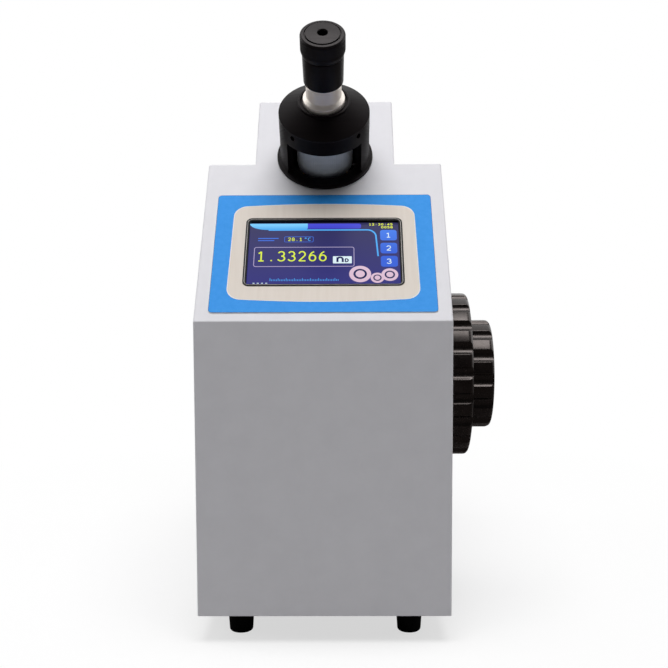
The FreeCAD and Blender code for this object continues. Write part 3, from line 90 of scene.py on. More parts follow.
def on_slope(points):
    """(across, up the slope, out of it) in mm to the frame: turned by the lean, moved to the crease."""
    x, s, h = np.moveaxis(np.asarray(points, float) * MM, -1, 0)
    c, d = math.cos(lean), math.sin(lean)
    return np.stack([x, s * c - h * d, s * d + h * c], -1) + crease


def on_tower(points):
    """(across, up the slope, along the tower's axis) in mm to the frame."""
    return on_slope(np.asarray(points, float) + [0, tower_slope, 0])


def on_wheel(points):
    """(back, up, outwards) in mm about the handwheels' axis to the frame: outwards is +X."""
    y, z, x = np.moveaxis(np.asarray(points, float) * MM, -1, 0)
    return np.stack([x, wheel_y + y, wheel_z + z], -1)


print("crease of the casing in mm:", np.round(crease / MM, 1))

# %% [markdown]
# ## Shapes as arrays
# A turned part is a profile carried round an axis, a printed layer is an outline with a little
# thickness. Both are worked out as whole arrays and written to the mesh in one go.

# %% Surfaces from arrays
def skin(grid, loop_rows=True, loop_columns=True):
    """Quads between neighbouring points of a (rows, columns, 3) grid, closed where asked."""
    index = np.arange(grid.shape[0] * grid.shape[1]).reshape(grid.shape[:2])
    if loop_rows:
        index = np.vstack([index, index[:1]])
    if loop_columns:
        index = np.hstack([index, index[:, :1]])
    quads = np.stack([index[:-1, :-1], index[:-1, 1:], index[1:, 1:], index[1:, :-1]], -1)
    return grid.reshape(-1, 3), quads.reshape(-1, 4).tolist()


def turned(profile, steps=180, wave=None):
    """The point (r, h) of the profile at turn t is (r cos t, r sin t, h); wave(t, r, h) adds to r."""
    t = np.linspace(0, 2 * np.pi, steps, endpoint=False)[None, :]
    r, h = (np.asarray(profile, float)[:, i, None] for i in (0, 1))
    radius = r + (wave(t, r, h) if wave else 0 * t)
    return skin(np.stack([radius * np.cos(t), radius * np.sin(t), h + 0 * t], -1))


def softened(corners, cuts, count=5):
    """Each corner c becomes the curve (1-u)^2 a + 2u(1-u) c + u^2 b: a and b lie a cut away from c."""
    c = np.asarray(corners, float)
    before, after = np.roll(c, 1, 0) - c, np.roll(c, -1, 0) - c
    size_before, size_after = np.linalg.norm(before, axis=1), np.linalg.norm(after, axis=1)
    cut = np.minimum(np.broadcast_to(cuts, len(c)), 0.45 * np.minimum(size_before, size_after))[:, None]
    a, b = c + before / size_before[:, None] * cut, c + after / size_after[:, None] * cut
    u = np.linspace(0, 1, count)[None, :, None]
    curve = (1 - u) ** 2 * a[:, None] + 2 * u * (1 - u) * c[:, None] + u ** 2 * b[:, None]
    return curve.reshape(-1, 2)


def round_box(half, low, high, corner, along=16, turn=8):
    """Outline of a box with round corners: a quarter circle, then a straight side, four times."""
    a = np.linspace(0, np.pi / 2, turn)
    arc = corner * np.stack([np.cos(a), np.sin(a)], -1)
    centres = [(half - corner, high - corner), (corner - half, high - corner),
               (corner - half, low + corner), (half - corner, low + corner)]
    quarter = np.array([[0, -1], [1, 0]])
    arcs = [arc @ np.linalg.matrix_power(quarter, k).T + centres[k] for k in range(4)]
    share = np.linspace(0, 1, along, endpoint=False)[1:, None]
    sides = [arcs[k][-1] + share * (arcs[(k + 1) % 4][0] - arcs[k][-1]) for k in range(4)]
    return np.concatenate([part for pair in zip(arcs, sides) for part in pair])


def at_height(outline, h):
    """A flat outline lifted to height h."""
    return np.column_stack([outline, np.full(len(outline), float(h))])


def slab(outline, low, high, hole=None, top=None):
    """An outline with a thickness, as a closed solid; top is its outline at the upper side.

    A hole has as many points as the outline."""
    upper = outline if top is None else top
    if hole is not None:
        return skin(np.stack([at_height(outline, low), at_height(upper, high),
                              at_height(hole, high), at_height(hole, low)]))
    n = len(outline)
    points, faces = skin(np.stack([at_height(outline, low), at_height(upper, high)]), loop_rows=False)
    return points, faces + [list(range(n))[::-1], list(range(n, 2 * n))]


# %% [markdown]
# ## From arrays to a piece
# Each finished object sits at the origin with its place in its mesh, rides on a body of the frame,
# and takes the material that it is given. Doubles are merged, so that poles close, and the normals
# are worked out again, so that all of them point outwards.

# %% Making a piece
import bmesh

made = []
# In metres: points this close are one, and edges this short are dropped.
same_place, no_length = 2e-6, 1e-6


def piece(name, shape, place, material, body="root", sharp=32):
    """Writes (points, faces) to a mesh at its place, cleans it, and lets it ride on its body."""
    points, faces = shape
    mesh = bpy.data.meshes.new(name)
    mesh.from_pydata(place(points).tolist(), [], faces)
    work = bmesh.new()
    work.from_mesh(mesh)
    bmesh.ops.remove_doubles(work, verts=work.verts, dist=same_place)
    bmesh.ops.dissolve_degenerate(work, edges=work.edges, dist=no_length)
    bmesh.ops.recalc_face_normals(work, faces=work.faces)
    work.to_mesh(mesh)
    work.free()
    mesh.shade_smooth()
    mesh.set_sharp_from_angle(angle=math.radians(sharp))
    mesh.materials.append(material)
    obj = bpy.data.objects.new(name, mesh)
    bpy.context.scene.collection.objects.link(obj)
    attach(obj, body)
    made.append(obj)
    return obj


def joined(shapes):
    """Several (points, faces) as one."""
    starts = np.cumsum([0] + [len(points) for points, _ in shapes[:-1]])
    faces = [[i + start for i in face] for (_, fs), start in zip(shapes, starts) for face in fs]
    return np.concatenate([points for points, _ in shapes]), faces


# %% [markdown]
# ## Colours and the node helper
# A hex colour is written in sRGB, as a colour picker shows it, and a shader needs it linear.
# All materials are built with one helper that adds a node, sets it and links it.

# %% Colour and node helpers
def colour(hex_code):
    """sRGB hex to linear: v/12.92 below 0.04045, else ((v + 0.055)/1.055)^2.4."""
    v = np.array([int(hex_code[i:i + 2], 16) for i in (1, 3, 5)]) / 255
    return (*np.where(v <= 0.04045, v / 12.92, ((v + 0.055) / 1.055) ** 2.4), 1.0)


def add(tree, kind, links=None, **settings):
    """Adds one node. links sets inputs to a value or joins them to a socket; settings are its own."""
    node = tree.nodes.new(kind)
    for key, value in settings.items():
        setattr(node, key, value)
    for key, value in (links or {}).items():
        if isinstance(value, bpy.types.NodeSocket):
            tree.links.new(value, node.inputs[key])
        else:
            node.inputs[key].default_value = value
    return node


def finish(name, **values):
    """A new material with one Principled shader; values set its sockets, with _ for a space."""
    material = bpy.data.materials.new(name)
    material.use_nodes = True
    tree = material.node_tree
    shader = tree.nodes["Principled BSDF"]
    for key, value in values.items():
        shader.inputs[key.replace("_", " ")].default_value = value
    return material, tree, shader


# Where most of the noise lies, and the cosine between flat and rounded normal on a rubbed edge.
noise_range = {"From Min": 0.3, "From Max": 0.7}
rubbed_range = {"From Min": 0.97, "From Max": 0.72}


def textured(name, dark, light, gloss, size, depth, spots=None, swing=0.06, edge=0.3, worn=None,
             stretch=(1, 1, 1), turn=(0, 0, 0), **values):
    """A finish made of two noises in Object coordinates, with sizes in mm.

    Spots carry the colour from dark to light, marks of the given size carry the roughness
    gloss +- swing and a bump of the given depth. Where the normal differs from the one rounded
    by edge mm, the surface is worn to another colour.
    """
    material, tree, shader = finish(name, **values)
    where = add(tree, "ShaderNodeTexCoord").outputs["Object"]
    placed = add(tree, "ShaderNodeMapping",
                 {"Vector": where, "Rotation": turn, "Scale": stretch}).outputs[0]
    marks, cloud = (add(tree, "ShaderNodeTexNoise", {"Vector": placed, "Scale": 1 / (width * MM),
                                                     "Detail": 3.0, "Roughness": 0.6}).outputs["Fac"]
                    for width in (size, spots or size))
    share = add(tree, "ShaderNodeMapRange", {"Value": cloud, **noise_range}).outputs["Result"]
    tone = add(tree, "ShaderNodeMix", {0: share, 6: colour(dark), 7: colour(light)},
               data_type="RGBA").outputs[2]
    level = add(tree, "ShaderNodeMapRange", {"Value": marks, **noise_range, "To Min": gloss - swing,
                                             "To Max": gloss + swing}).outputs["Result"]
    bump = add(tree, "ShaderNodeBump", {"Height": marks, "Strength": 1.0, "Distance": depth * MM})
    if edge:
        rounded = add(tree, "ShaderNodeBevel", {"Radius": edge * MM}, samples=4).outputs["Normal"]
        tree.links.new(rounded, bump.inputs["Normal"])
    if worn:
        flat = add(tree, "ShaderNodeNewGeometry").outputs["Normal"]
        same = add(tree, "ShaderNodeVectorMath", {0: rounded, 1: flat}, operation="DOT_PRODUCT")
        bare = add(tree, "ShaderNodeMapRange", {"Value": same.outputs["Value"], **rubbed_range})
        patchy = add(tree, "ShaderNodeMath", {0: bare.outputs["Result"], 1: share},
                     operation="MULTIPLY").outputs[0]
        tone = add(tree, "ShaderNodeMix", {0: patchy, 6: tone, 7: colour(worn)},
                   data_type="RGBA").outputs[2]
    tree.links.new(tone, shader.inputs["Base Color"])
    tree.links.new(level, shader.inputs["Roughness"])
    tree.links.new(bump.outputs["Normal"], shader.inputs["Normal"])
    return material


# %% [markdown]
# ## Painted and printed finishes
# The casing is folded steel with a fine-textured powder coat: a light grey that leans to lilac,
# soft in its gloss. Its orange peel is about 0.4 mm wide, drawn at 1.1 mm so that it shows. The
# panel is a polyester film printed from behind, so it is smooth and flat under a fine matt grain.

# %% Paint and film
peel = dict(size=1.1, depth=0.035, spots=14, edge=0.6, Specular_IOR_Level=0.35)
# Baked polyester powder on steel: softly glossy, a little mottled, paler where edges are rubbed.
casing_paint = textured("casing_powder_coat", "#dedde2", "#e2e1e6", 0.55, worn="#efeff2", **peel)
rear_paint = textured("rear_powder_coat", "#d0cfd4", "#d5d4d9", 0.6, worn="#e6e6ea", **peel)
film = dict(size=0.9, depth=0.008, spots=3, swing=0.03, edge=None, Specular_IOR_Level=0.1)
# Inks printed on the back of the film: even and saturated, with the film's silky matt grain.
film_blue = textured("overlay_blue_print", "#2d94ea", "#379aef", 0.46, **film)
# The thin dark line is partly the film's cut edge and partly painted shade along that edge, with the same grain.
film_edge_shade = textured("overlay_dark_line", "#1a3f66", "#1f4a75", 0.46, **film)
film_clear = textured("overlay_clear_edge", "#e3e6ea", "#eceef2", 0.46, **film)
# A metallic ink with fine streaks up and down the panel, like brushed metal.
film_champagne = textured("overlay_champagne_print", "#dfd5cb", "#e4dbd2", 0.46,
                          stretch=(1, 0.06, 0.06), **film)
film_pearl = textured("overlay_pearl_line", "#eee8e0", "#f3eee8", 0.46, **film)
print("paint and film finishes:", len(bpy.data.materials))

# %% [markdown]
# ## Metal finishes
# A lathe leaves fine rings round a part, 0.3 mm apart and drawn at 0.5 mm, so on the tower the
# noise is squeezed along the tower's axis. Black anodising is a dyed oxide skin: it looks like a
# dark, slightly warm, satin dielectric. Clear anodising on the drum scatters light like pale satin.

# %% Metals
lathe = dict(stretch=(0.02, 0.02, 1), turn=(-lean, 0, 0))
warm_shine = (1.0, 0.9, 0.91, 1.0)
black_skin = dict(size=0.5, depth=0.003, spots=6, worn="#4a4648", Specular_Tint=warm_shine)
# Black anodising on turned aluminium: a deep black with a soft, slightly purple shine.
anodised = textured("black_anodised_aluminium", "#060304", "#0c0809", 0.46, Specular_IOR_Level=0.08,
                    **black_skin, **lathe)
eyepiece_black = textured("eyepiece_black_anodising", "#060404", "#0c0809", 0.42,
                          Specular_IOR_Level=0.18, **black_skin, **lathe)
# Clear anodising, bead-blasted first: pale and silky, it scatters light more than it mirrors.
drum_metal = textured("pearl_anodised_drum", "#a5acb7", "#b2b9c3", 0.5, 0.5, 0.006, Metallic=0.15,
                      Specular_IOR_Level=0.3, Sheen_Weight=0.6, **lathe)
# Bare turned aluminium: bright bands along the sides, softened by the rings of the tool. These
# scatter some light too, so it isn't fully metallic and its middle stays grey, not black.
silver = textured("turned_silver_aluminium", "#f9efe6", "#fdf7f0", 0.5, 0.6, 0.001, swing=0.04,
                  Metallic=0.74, **lathe)
# A thin grey metal bead round the glass: a painted highlight, standing in for the shine on the black bezel's
# rounded edge.
bezel_highlight_finish = textured("dark_bead_metal", "#7c7977", "#8d8a88", 0.34, 0.6, 0.006, Metallic=1.0)
# Turned and ground steel, zinc plate with its cloudy spangle, and satin nickel worn to its brass.
steel = textured("turned_steel", "#8e8f91", "#b3b4b5", 0.28, 0.6, 0.006, Metallic=1.0)
zinc = textured("zinc_plated_steel", "#9a9ea3", "#bcbfbf", 0.38, 9, 0.006, Metallic=1.0)
nickel = textured("satin_nickel_plate", "#b2afa8", "#bdbab3", 0.32, 0.6, 0.0015, swing=0.03,
                  worn="#c9b184", stretch=(1, 0.05, 1), Metallic=1.0)
# Brass that has aged to brown, and rough sand-cast aluminium.
brass = textured("aged_turned_brass", "#7d6535", "#a1854c", 0.3, 0.6, 0.006, Metallic=1.0)
cast = textured("sand_cast_aluminium", "#7c7e80", "#999b9c", 0.6, 1.5, 0.15, Metallic=1.0)
# Silver behind glass: a clean mirror.
mirror_silver, _, _ = finish("silvered_mirror_glass", Metallic=1.0, Roughness=0.03,
                             Base_Color=colour("#e6e8e8"))
print("metal finishes ready, tower rings squeezed by", lathe["stretch"])

# %% [markdown]
# ## Rubber, plastics, glass and boards
# The handwheels are moulded in black phenolic resin, warm and rather glossy. The feet are matt
# rubber. Plastics get the fine spark-eroded texture of their mould.

# %% Rubber, plastics and glass
# Phenolic resin: brown-black and polished by the mould, so it keeps sharp highlights on its lobes.
phenolic = textured("black_phenolic_resin", "#070303", "#0c0605", 0.27, 6, 0.002, worn="#241a17",
                    Specular_IOR_Level=0.5, Specular_Tint=(1.0, 0.88, 0.84, 1.0))
# Carbon-black rubber: dead matt, it swallows the light.
rubber = textured("black_foot_rubber", "#080808", "#101010", 0.7, 0.9, 0.04, spots=8,
                  Specular_IOR_Level=0.05)
# ABS with a satin mould texture, glass-filled nylon with a coarser one, polished polycarbonate.
bezel_plastic = textured("bezel_satin_black", "#070708", "#0c0c0d", 0.38, 0.8, 0.012,
                         Specular_IOR_Level=0.06)
port_plastic = textured("black_glass_filled_nylon", "#131314", "#1d1d1f", 0.5, 0.9, 0.03, spots=8)
rocker_gloss = textured("rocker_black_polycarbonate", "#0b0b0c", "#121213", 0.18, 2.0, 0.004,
                        worn="#3a3a3c")
rocker_print = textured("rocker_white_print", "#dcdcda", "#e8e8e6", 0.4, 0.8, 0.004, edge=None)
# Stoved enamel on the lamp, opal acrylic in its mouth, solder mask on the boards.
lamp_black = textured("lamp_black_enamel", "#141415", "#1c1c1e", 0.3, 1.0, 0.01, spots=8, worn="#6a6a6a")
opal = textured("opal_acrylic", "#f0eee6", "#f6f4ee", 0.3, 2.0, 0.004, edge=None, Subsurface_Weight=0.3,
                Subsurface_Scale=0.002)
board_green = textured("solder_mask_green", "#0f4a2c", "#1a6b3f", 0.3, 2.5, 0.02)
# Polished flint glass: clear, with strong edges from its high index.
optical_glass, _, _ = finish("flint_optical_glass", Roughness=0.02, IOR=1.62, Transmission_Weight=1.0,
                             Base_Color=colour("#f3f6f4"))


def lit(name, hex_low, hex_high, low=0.0, high=1.0):
    """A lit part of the display: it glows in its own colour, which runs from low to high in z."""
    material, tree, shader = finish(name, Roughness=0.25, Specular_IOR_Level=0.04, Emission_Strength=1.0,
                                    Base_Color=(0, 0, 0, 1))
    where = add(tree, "ShaderNodeTexCoord").outputs["Object"]
    parts = add(tree, "ShaderNodeSeparateXYZ", {"Vector": where})
    share = add(tree, "ShaderNodeMapRange",
                {"Value": parts.outputs["Z"], "From Min": low, "From Max": high}).outputs["Result"]
    mix = add(tree, "ShaderNodeMix", {0: share, 6: colour(hex_low), 7: colour(hex_high)},
              data_type="RGBA")
    tree.links.new(mix.outputs[2], shader.inputs["Emission Color"])
    return material


glass_low, glass_high = (corner.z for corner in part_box("touch_glass"))
indigo = lit("display_indigo_field", "#29287a", "#35345c", low=glass_low, high=glass_high)
panel_blue = lit("display_key_blue", "#2f5ed6", "#4a86f2", low=glass_low + 0.02, high=glass_high)
header_rows = dict(low=glass_high - 0.005, high=glass_high - 0.001)
header_blue = lit("display_header_blue", "#2d9be8", "#7fd0ff", **header_rows)
header_violet = lit("display_header_violet", "#3a3fc0", "#4c4fd8", **header_rows)
line_cyan = lit("display_line_cyan", "#3f9df0", "#55b4ff", low=glass_low, high=glass_high)
line_pale = lit("display_line_pale", "#b7a3c8", "#a9a6cf", low=glass_low, high=glass_high)
digit_yellow = lit("display_digit_yellow", "#d8ee3c", "#e6f04a", low=glass_low, high=glass_high)
tile_white = lit("display_tile_white", "#d5ecf4", "#e6f6fb", low=glass_low, high=glass_high)
ink_dark = lit("display_dark_ink", "#1b1c52", "#20215e", low=glass_low, high=glass_high)
motif_rose = lit("display_rose_white", "#d9b9cf", "#e6cfe0", low=glass_low, high=glass_high)
print("all finishes:", len(bpy.data.materials))

# %% [markdown]
# ## Finishes for the CAD pieces that stay
# The casing, tower cage, prism table and rear panel already have their right shapes. Each node's
# own slots get the finish of the record's material slot, so nothing is left plain.

# %% Give the CAD nodes their finishes
slot_finish = {
    "casing_paint": casing_paint, "rear_paint": rear_paint, "zinc_steel": zinc, "screw_steel": steel,
    "foot_rubber": rubber, "overlay_film": film_blue, "bezel_black": bezel_plastic,
    "cover_glass": indigo, "lcd_panel": bezel_plastic, "board_green": board_green, "brass": brass,
    "black_anodised": anodised, "drum_aluminium": drum_metal, "silver_aluminium": silver,
    "optical_glass": optical_glass, "mirror_glass": mirror_silver, "cast_frame": cast,
    "turned_steel": steel, "wheel_black": phenolic,
    "prism_metal": nickel, "lamp_black": lamp_black, "inlet_plastic": port_plastic,
    "rocker_plastic": rocker_gloss, "port_shell": nickel}


def dress(subparts):
    """Sets every node's material from its slot in the record, and says what was left out."""
    left = set(nodes)
    for part in subparts:
        mesh = nodes[part["node"]].data
        mesh.materials.clear()
        mesh.materials.append(slot_finish[part["material_slot"]])
        left.discard(part["node"])
    return sorted(left)


print("nodes without a slot:", dress(frame["record"]["subparts"]))

# %% [markdown]
# ## The printed panel
# The film has a clear edge that slopes where it was cut, a thin dark line, a blue border and a
# champagne field whose top and bottom bow outwards. The dark line is partly the film's edge and
# partly painted shade along it. Printed layers have no thickness to speak of, so each is a slab of
# 0.03 mm on the one below: the edges stay crisp at any distance, which a painted map can't do.

# %% Panel layers
film_thickness, print_step = 0.5, 0.03
window = dict(half=49.9, low=27.4, high=85.7, corner=4.0)
field_half, field_low, field_high, field_corner = 58.6, 17.4, 96.1, 8.0
field_bow, field_taper = 2.6, 0.01
film_corner, least_corner = 2.8, 1.5
line_inset, blue_inset, pearl_width = 0.35, 0.55, 0.5


def bowed(outline, inset):
    """Top and bottom swell by bow (1 - (x/half)^2); the width shrinks a little on the way up."""
    x, s = outline.T
    share = (s - (field_low + field_high) / 2) / ((field_high - field_low) / 2 - inset)
    swell = field_bow * (1 - (x / field_half) ** 2) * share
    return np.stack([x * (1 - field_taper * share), s + swell], -1)


def inset_box(inset):
    """The film's outline moved inwards."""
    return round_box(overlay_half - inset, overlay_low + inset, overlay_high - inset,
                     max(film_corner - inset, least_corner))


def field_outline(inset):
    """The champagne field's outline moved inwards."""
    plain = round_box(field_half - inset, field_low + inset, field_high - inset, field_corner)
    return bowed(plain, inset)


hole = round_box(**window)
base = slab(inset_box(0.0), 0.0, film_thickness, hole, inset_box(line_inset))
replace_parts(piece("film_base", base, on_slope, film_clear), "panel_overlay")
# The first layer, the dark line, is partly the film's edge and partly painted shade along it.
prints = [("film_dark_line", inset_box(line_inset), film_edge_shade),
          ("film_blue_border", inset_box(blue_inset), film_blue),
          ("film_pearl_line", field_outline(0.0), film_pearl),
          ("film_champagne_field", field_outline(pearl_width), film_champagne)]
for order, (name, outline, material) in enumerate(prints):
    low = film_thickness + order * print_step
    piece(name, slab(outline, low, low + print_step, hole), on_slope, material)
print("printed layers:", len(prints), "up to", round(low + print_step, 2), "mm")

# %% [markdown]
# ## A painted highlight round the display
# Round the glass runs a thin grey bead between two dark lines: a painted highlight, standing in
# for the shine on the black bezel's rounded edge. It is half a round section carried along the
# bezel's outline.

# %% Bead round the display
def bead(half, low, high, corner, width, height, base):
    """A half-round section carried along a box outline: offset w cos a across, height sin a up."""
    middle = round_box(half, low, high, corner)
    along = np.roll(middle, -1, 0) - np.roll(middle, 1, 0)
    across = np.stack([along[:, 1], -along[:, 0]], -1) / np.linalg.norm(along, axis=1)[:, None]
    a = np.linspace(0, np.pi, 9)[:, None, None]
    flat = middle[None] + across[None] * np.cos(a) * width / 2
    up = base + height * np.sin(a)[..., 0] + 0 * flat[..., 0]
    return skin(np.concatenate([flat, up[..., None]], -1))


bezel_top, bead_sink = 1.0, 0.05
bead_line = dict(half=48.75, low=28.2, high=84.5, corner=3.2, width=0.5, height=0.3)
# The bead is a painted highlight: a grey part where the bezel's rounded black edge only catches light.
piece("display_bead", bead(**bead_line, base=bezel_top - bead_sink), on_slope, bezel_highlight_finish)

# %% [markdown]
# ## Signs as thin plates
# The real display lights up its picture from below. Here each sign is a glowing plate just above
# the glass, in levels of 0.05 mm, so its edges stay sharp at any distance. A plate fills an
# outline, and a strip follows a path with an even pen.

# %% Flat signs on the glass
glass_top = -0.9
sign_step = 0.05


def moved(outline, x, s):
    """The outline with its middle at (x, s)."""
    return np.asarray(outline, float) + [x, s]


def plaque(width, height, corner):
    """Outline of a key or a tile about its own middle."""
    return round_box(width / 2, -height / 2, height / 2, corner, 4, 6)


def ribbon(path, width, base):
    """A flat strip of a given width along a path: its flat rectangular section, carried along it."""
    path = np.asarray(path, float)
    along = np.gradient(path, axis=0)
    across = np.stack([-along[:, 1], along[:, 0]], -1) / np.linalg.norm(along, axis=1)[:, None]
    across = across * width / 2
    n = len(path)
    rows = [at_height(path + across, base), at_height(path + across, base + sign_step),
            at_height(path - across, base + sign_step), at_height(path - across, base)]
    points, faces = skin(np.stack(rows), loop_columns=False)
    return points, faces + [[0, n, 2 * n, 3 * n], [4 * n - 1, 3 * n - 1, 2 * n - 1, n - 1]]


def level_base(level):
    """Height of the underside of a level of signs, counted from 1."""
    return glass_top + (level - 1) * sign_step


def sign(name, outlines, material, level=1):
    """Flat plates on the glass, at a level counted from 1."""
    base = level_base(level)
    return piece(name, joined([slab(np.asarray(o, float), base, base + sign_step) for o in outlines]),
                 on_slope, material)


def lines(name, paths, width, material, level=1):
    """Flat strips on the glass."""
    return piece(name, joined([ribbon(path, width, level_base(level)) for path in paths]), on_slope,
                 material)


def circle(radius, x, s, count=40):
    """Outline of a round plate."""
    t = np.linspace(0, 2 * np.pi, count, endpoint=False)
    return moved(radius * np.stack([np.cos(t), np.sin(t)], -1), x, s)


# %% [markdown]
# ## Figures drawn as strokes
# The display writes with an even pen in cells of equal width. Each sign is a few strokes in a unit
# cell, either straight runs or arcs of an ellipse, so it can be set at any size and spacing.

# %% Figures from strokes
def arc(x, y, across, up, start, end, count=16):
    """Points (x + across cos a, y + up sin a), with a from start to end in degrees."""
    a = np.radians(np.linspace(start, end, count))
    return np.stack([x + across * np.cos(a), y + up * np.sin(a)], -1)


six = [arc(0.5, 0.31, 0.37, 0.31, 0, 360, 24), arc(0.87, 0.31, 0.74, 0.70, 180, 105, 8)]
strokes = {
    "0": [arc(0.5, 0.5, 0.36, 0.5, 0, 360, 24)],
    "1": [[(0.2, 0.8), (0.36, 0.88), (0.52, 1)], [(0.52, 1), (0.52, 0)], [(0.2, 0), (0.84, 0)]],
    "2": [arc(0.48, 0.7, 0.36, 0.3, 165, -32), [(0.78, 0.54), (0.14, 0)], [(0.12, 0), (0.9, 0)]],
    "3": [arc(0.46, 0.75, 0.34, 0.25, 160, -90), arc(0.46, 0.26, 0.4, 0.26, 90, -160)],
    "4": [[(0.7, 0), (0.7, 1)], [(0.7, 1), (0.08, 0.3)], [(0.08, 0.3), (0.94, 0.3)]],
    "5": [[(0.82, 1), (0.2, 1)], [(0.2, 1), (0.16, 0.54)], arc(0.46, 0.32, 0.38, 0.32, 142, -155)],
    "6": six, "9": [1 - stroke for stroke in six],
    "7": [[(0.1, 1), (0.9, 1)], [(0.9, 1), (0.38, 0)]],
    "8": [arc(0.5, 0.76, 0.31, 0.24, 0, 360, 20), arc(0.5, 0.27, 0.38, 0.27, 0, 360, 22)],
    ".": [[(0.42, 0.04), (0.6, 0.04)]], ":": [[(0.4, 0.25), (0.58, 0.25)], [(0.4, 0.72), (0.58, 0.72)]],
    "-": [[(0.2, 0.45), (0.8, 0.45)]],
    "C": [arc(0.52, 0.5, 0.4, 0.5, 48, 312)], "o": [arc(0.6, 0.86, 0.2, 0.13, 0, 360, 14)],
    "n": [[(0.14, 0), (0.14, 0.72)], arc(0.5, 0.4, 0.36, 0.32, 180, 0), [(0.86, 0.4), (0.86, 0)]],
    "D": [[(0.16, 0), (0.16, 1)], arc(0.3, 0.5, 0.56, 0.5, 90, -90), [(0.16, 1), (0.3, 1)],
          [(0.16, 0), (0.3, 0)]]}


cell_share = 0.82


def figures(name, text, x, s, height, step, pen, material, level=2):
    """A row of figures: each sign's strokes are scaled to a cell and set one step further right."""
    scale = np.array([step * cell_share, height])
    paths = [np.asarray(stroke, float) * scale + [x + order * step, s]
             for order, letter in enumerate(text) for stroke in strokes.get(letter, [])]
    return lines(name, paths, pen, material, level)


print("signs drawn:", "".join(sorted(strokes)))

# %% [markdown]
# ## The picture on the display
# A light header tab over a darker strip, a line that bends down beside three keys, the index in
# large figures in a pale frame, the temperature above it, and a fine scale at the bottom. It is
# a plain picture made for this model.

# %% Header and keys
header_low, header_high = 76.8, 82.3
header_middle, header_height = (header_low + header_high) / 2, header_high - header_low
strip = moved(plaque(66.0, header_height - 1.0, 1.4), -9.4, header_middle + 0.4)
sign("sign_header_strip", [strip], header_violet)
tab_bend = arc(-36.0, header_high, 11.6, header_height, 180, 270, 12)
tab_end = arc(-12.5, header_low + 1.6, 2.0, 1.6, -90, 0, 6)
tab = np.concatenate([tab_bend, tab_end, [(-10.5, header_high)]])
sign("sign_header_tab", [tab], header_blue, 2)
sweep = np.concatenate([[(-35.5, header_low - 0.2)], arc(27.6, header_low - 6.5, 5.4, 6.2, 90, 0, 12),
                        [(34.0, 53.6)]])
lines("sign_header_line", [sweep], 1.0, line_cyan, 2)
figures("sign_clock", "12:30:45", 28.6, 80.6, 1.6, 1.95, 0.4, digit_yellow)
figures("sign_count", "0058", 36.4, 78.0, 1.6, 1.95, 0.4, digit_yellow)
key_x, key_top, key_step, key = 40.9, 71.8, 11.3, plaque(10.6, 9.2, 1.8)
for order in range(3):
    middle = key_top - order * key_step
    sign(f"sign_key_{order + 1}", [moved(key, key_x, middle)], panel_blue)
    figures(f"sign_key_figure_{order + 1}", str(order + 1), key_x - 1.7, middle - 1.9, 3.8, 4.0, 0.55,
            tile_white)
print("header and keys are on the glass")

# %% Values on the glass
def frame_line(width, height, corner, x, s):
    """The closed line round a box, as a path."""
    outline = moved(plaque(width, height, corner), x, s)
    return np.concatenate([outline, outline[:2]])


lines("sign_small_frame", [frame_line(18.2, 4.6, 0.8, -15.9, 68.4)], 0.3, panel_blue)
figures("sign_temperature", "28.1", -22.9, 67.1, 2.6, 2.4, 0.42, digit_yellow)
figures("sign_celsius", "oC", -12.9, 67.1, 2.6, 2.6, 0.4, line_cyan)
bars = [[(-41.8, 69.3), (-28.8, 69.3)], [(-41.8, 67.4), (-31.5, 67.4)]]
lines("sign_small_bars", bars, 0.7, panel_blue)
lines("sign_value_frame", [frame_line(62.6, 16.4, 1.4, -12.4, 53.3)], 0.45, line_pale)
figures("sign_value", "1.33266", -42.0, 49.8, 7.9, 6.45, 0.95, digit_yellow)
sign("sign_unit_tile", [moved(plaque(11.8, 6.0, 0.4), 11.6, 50.6)], tile_white)
figures("sign_unit", "n", 7.9, 48.6, 5.6, 5.6, 1.3, ink_dark, 3)
figures("sign_unit_index", "D", 13.1, 48.8, 2.6, 3.0, 0.8, ink_dark, 3)
tick_foot, tick_long, tick_short = 33.0, 2.2, 1.3
ticks = [[(x, tick_foot), (x, tick_foot + (tick_short if order % 5 else tick_long))]
         for order, x in enumerate(np.linspace(-33.0, 9.0, 43))]
lines("sign_scale", ticks, 0.4, line_cyan)
dots = [[(x, 31.2), (x + 1.2, 31.2)] for x in (-43.6, -41.0, -38.4, -35.8)]
lines("sign_dots", dots, 0.55, tile_white)
ring_share, core_share = 0.62, 0.42
drops = [(6.8, 22.6, 38.6), (4.2, 33.2, 35.4), (5.2, 40.9, 38.0)]
sign("sign_discs", [circle(*drop) for drop in drops], motif_rose)
sign("sign_disc_rings", [circle(radius * ring_share, x, s) for radius, x, s in drops], ink_dark, 2)
sign("sign_disc_cores", [circle(radius * core_share, x, s) for radius, x, s in drops], motif_rose, 3)
print("pieces so far:", len(made))

# %% [markdown]
# ## Eyepiece
# Neck, tube and focusing head are lathe work: silver aluminium below, black anodised above. The
# neck flares into a foot ring, the head opens to a wider ring with fine straight knurling, and
# its top has a fine groove round the exit pupil. Each profile is walked round once.

# %% Neck, tube and head
neck_profile = softened([(8.0, 47.0), (13.5, 47.0), (13.5, 51.0), (11.4, 53.2), (11.4, 62.1),
                         (11.15, 62.35), (11.15, 63.6), (10.4, 63.6), (10.4, 70.0), (8.0, 70.0)],
                        [0, 0, 0.25, 0.5, 0.1, 0.1, 0, 0, 0, 0])
neck = piece("silver_neck", turned(neck_profile), on_tower, silver)
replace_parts(neck, "eyepiece_neck")

tube_profile = softened([(10.45, 63.6), (11.6, 63.6), (12.7, 64.7), (13.1, 85.2), (11.1, 85.2),
                         (11.1, 72)],
                        [0, 0.3, 0.4, 0.3, 0, 0])
tube = piece("eyepiece_tube", turned(tube_profile), on_tower, eyepiece_black)
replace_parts(tube, "eyepiece_sleeve")


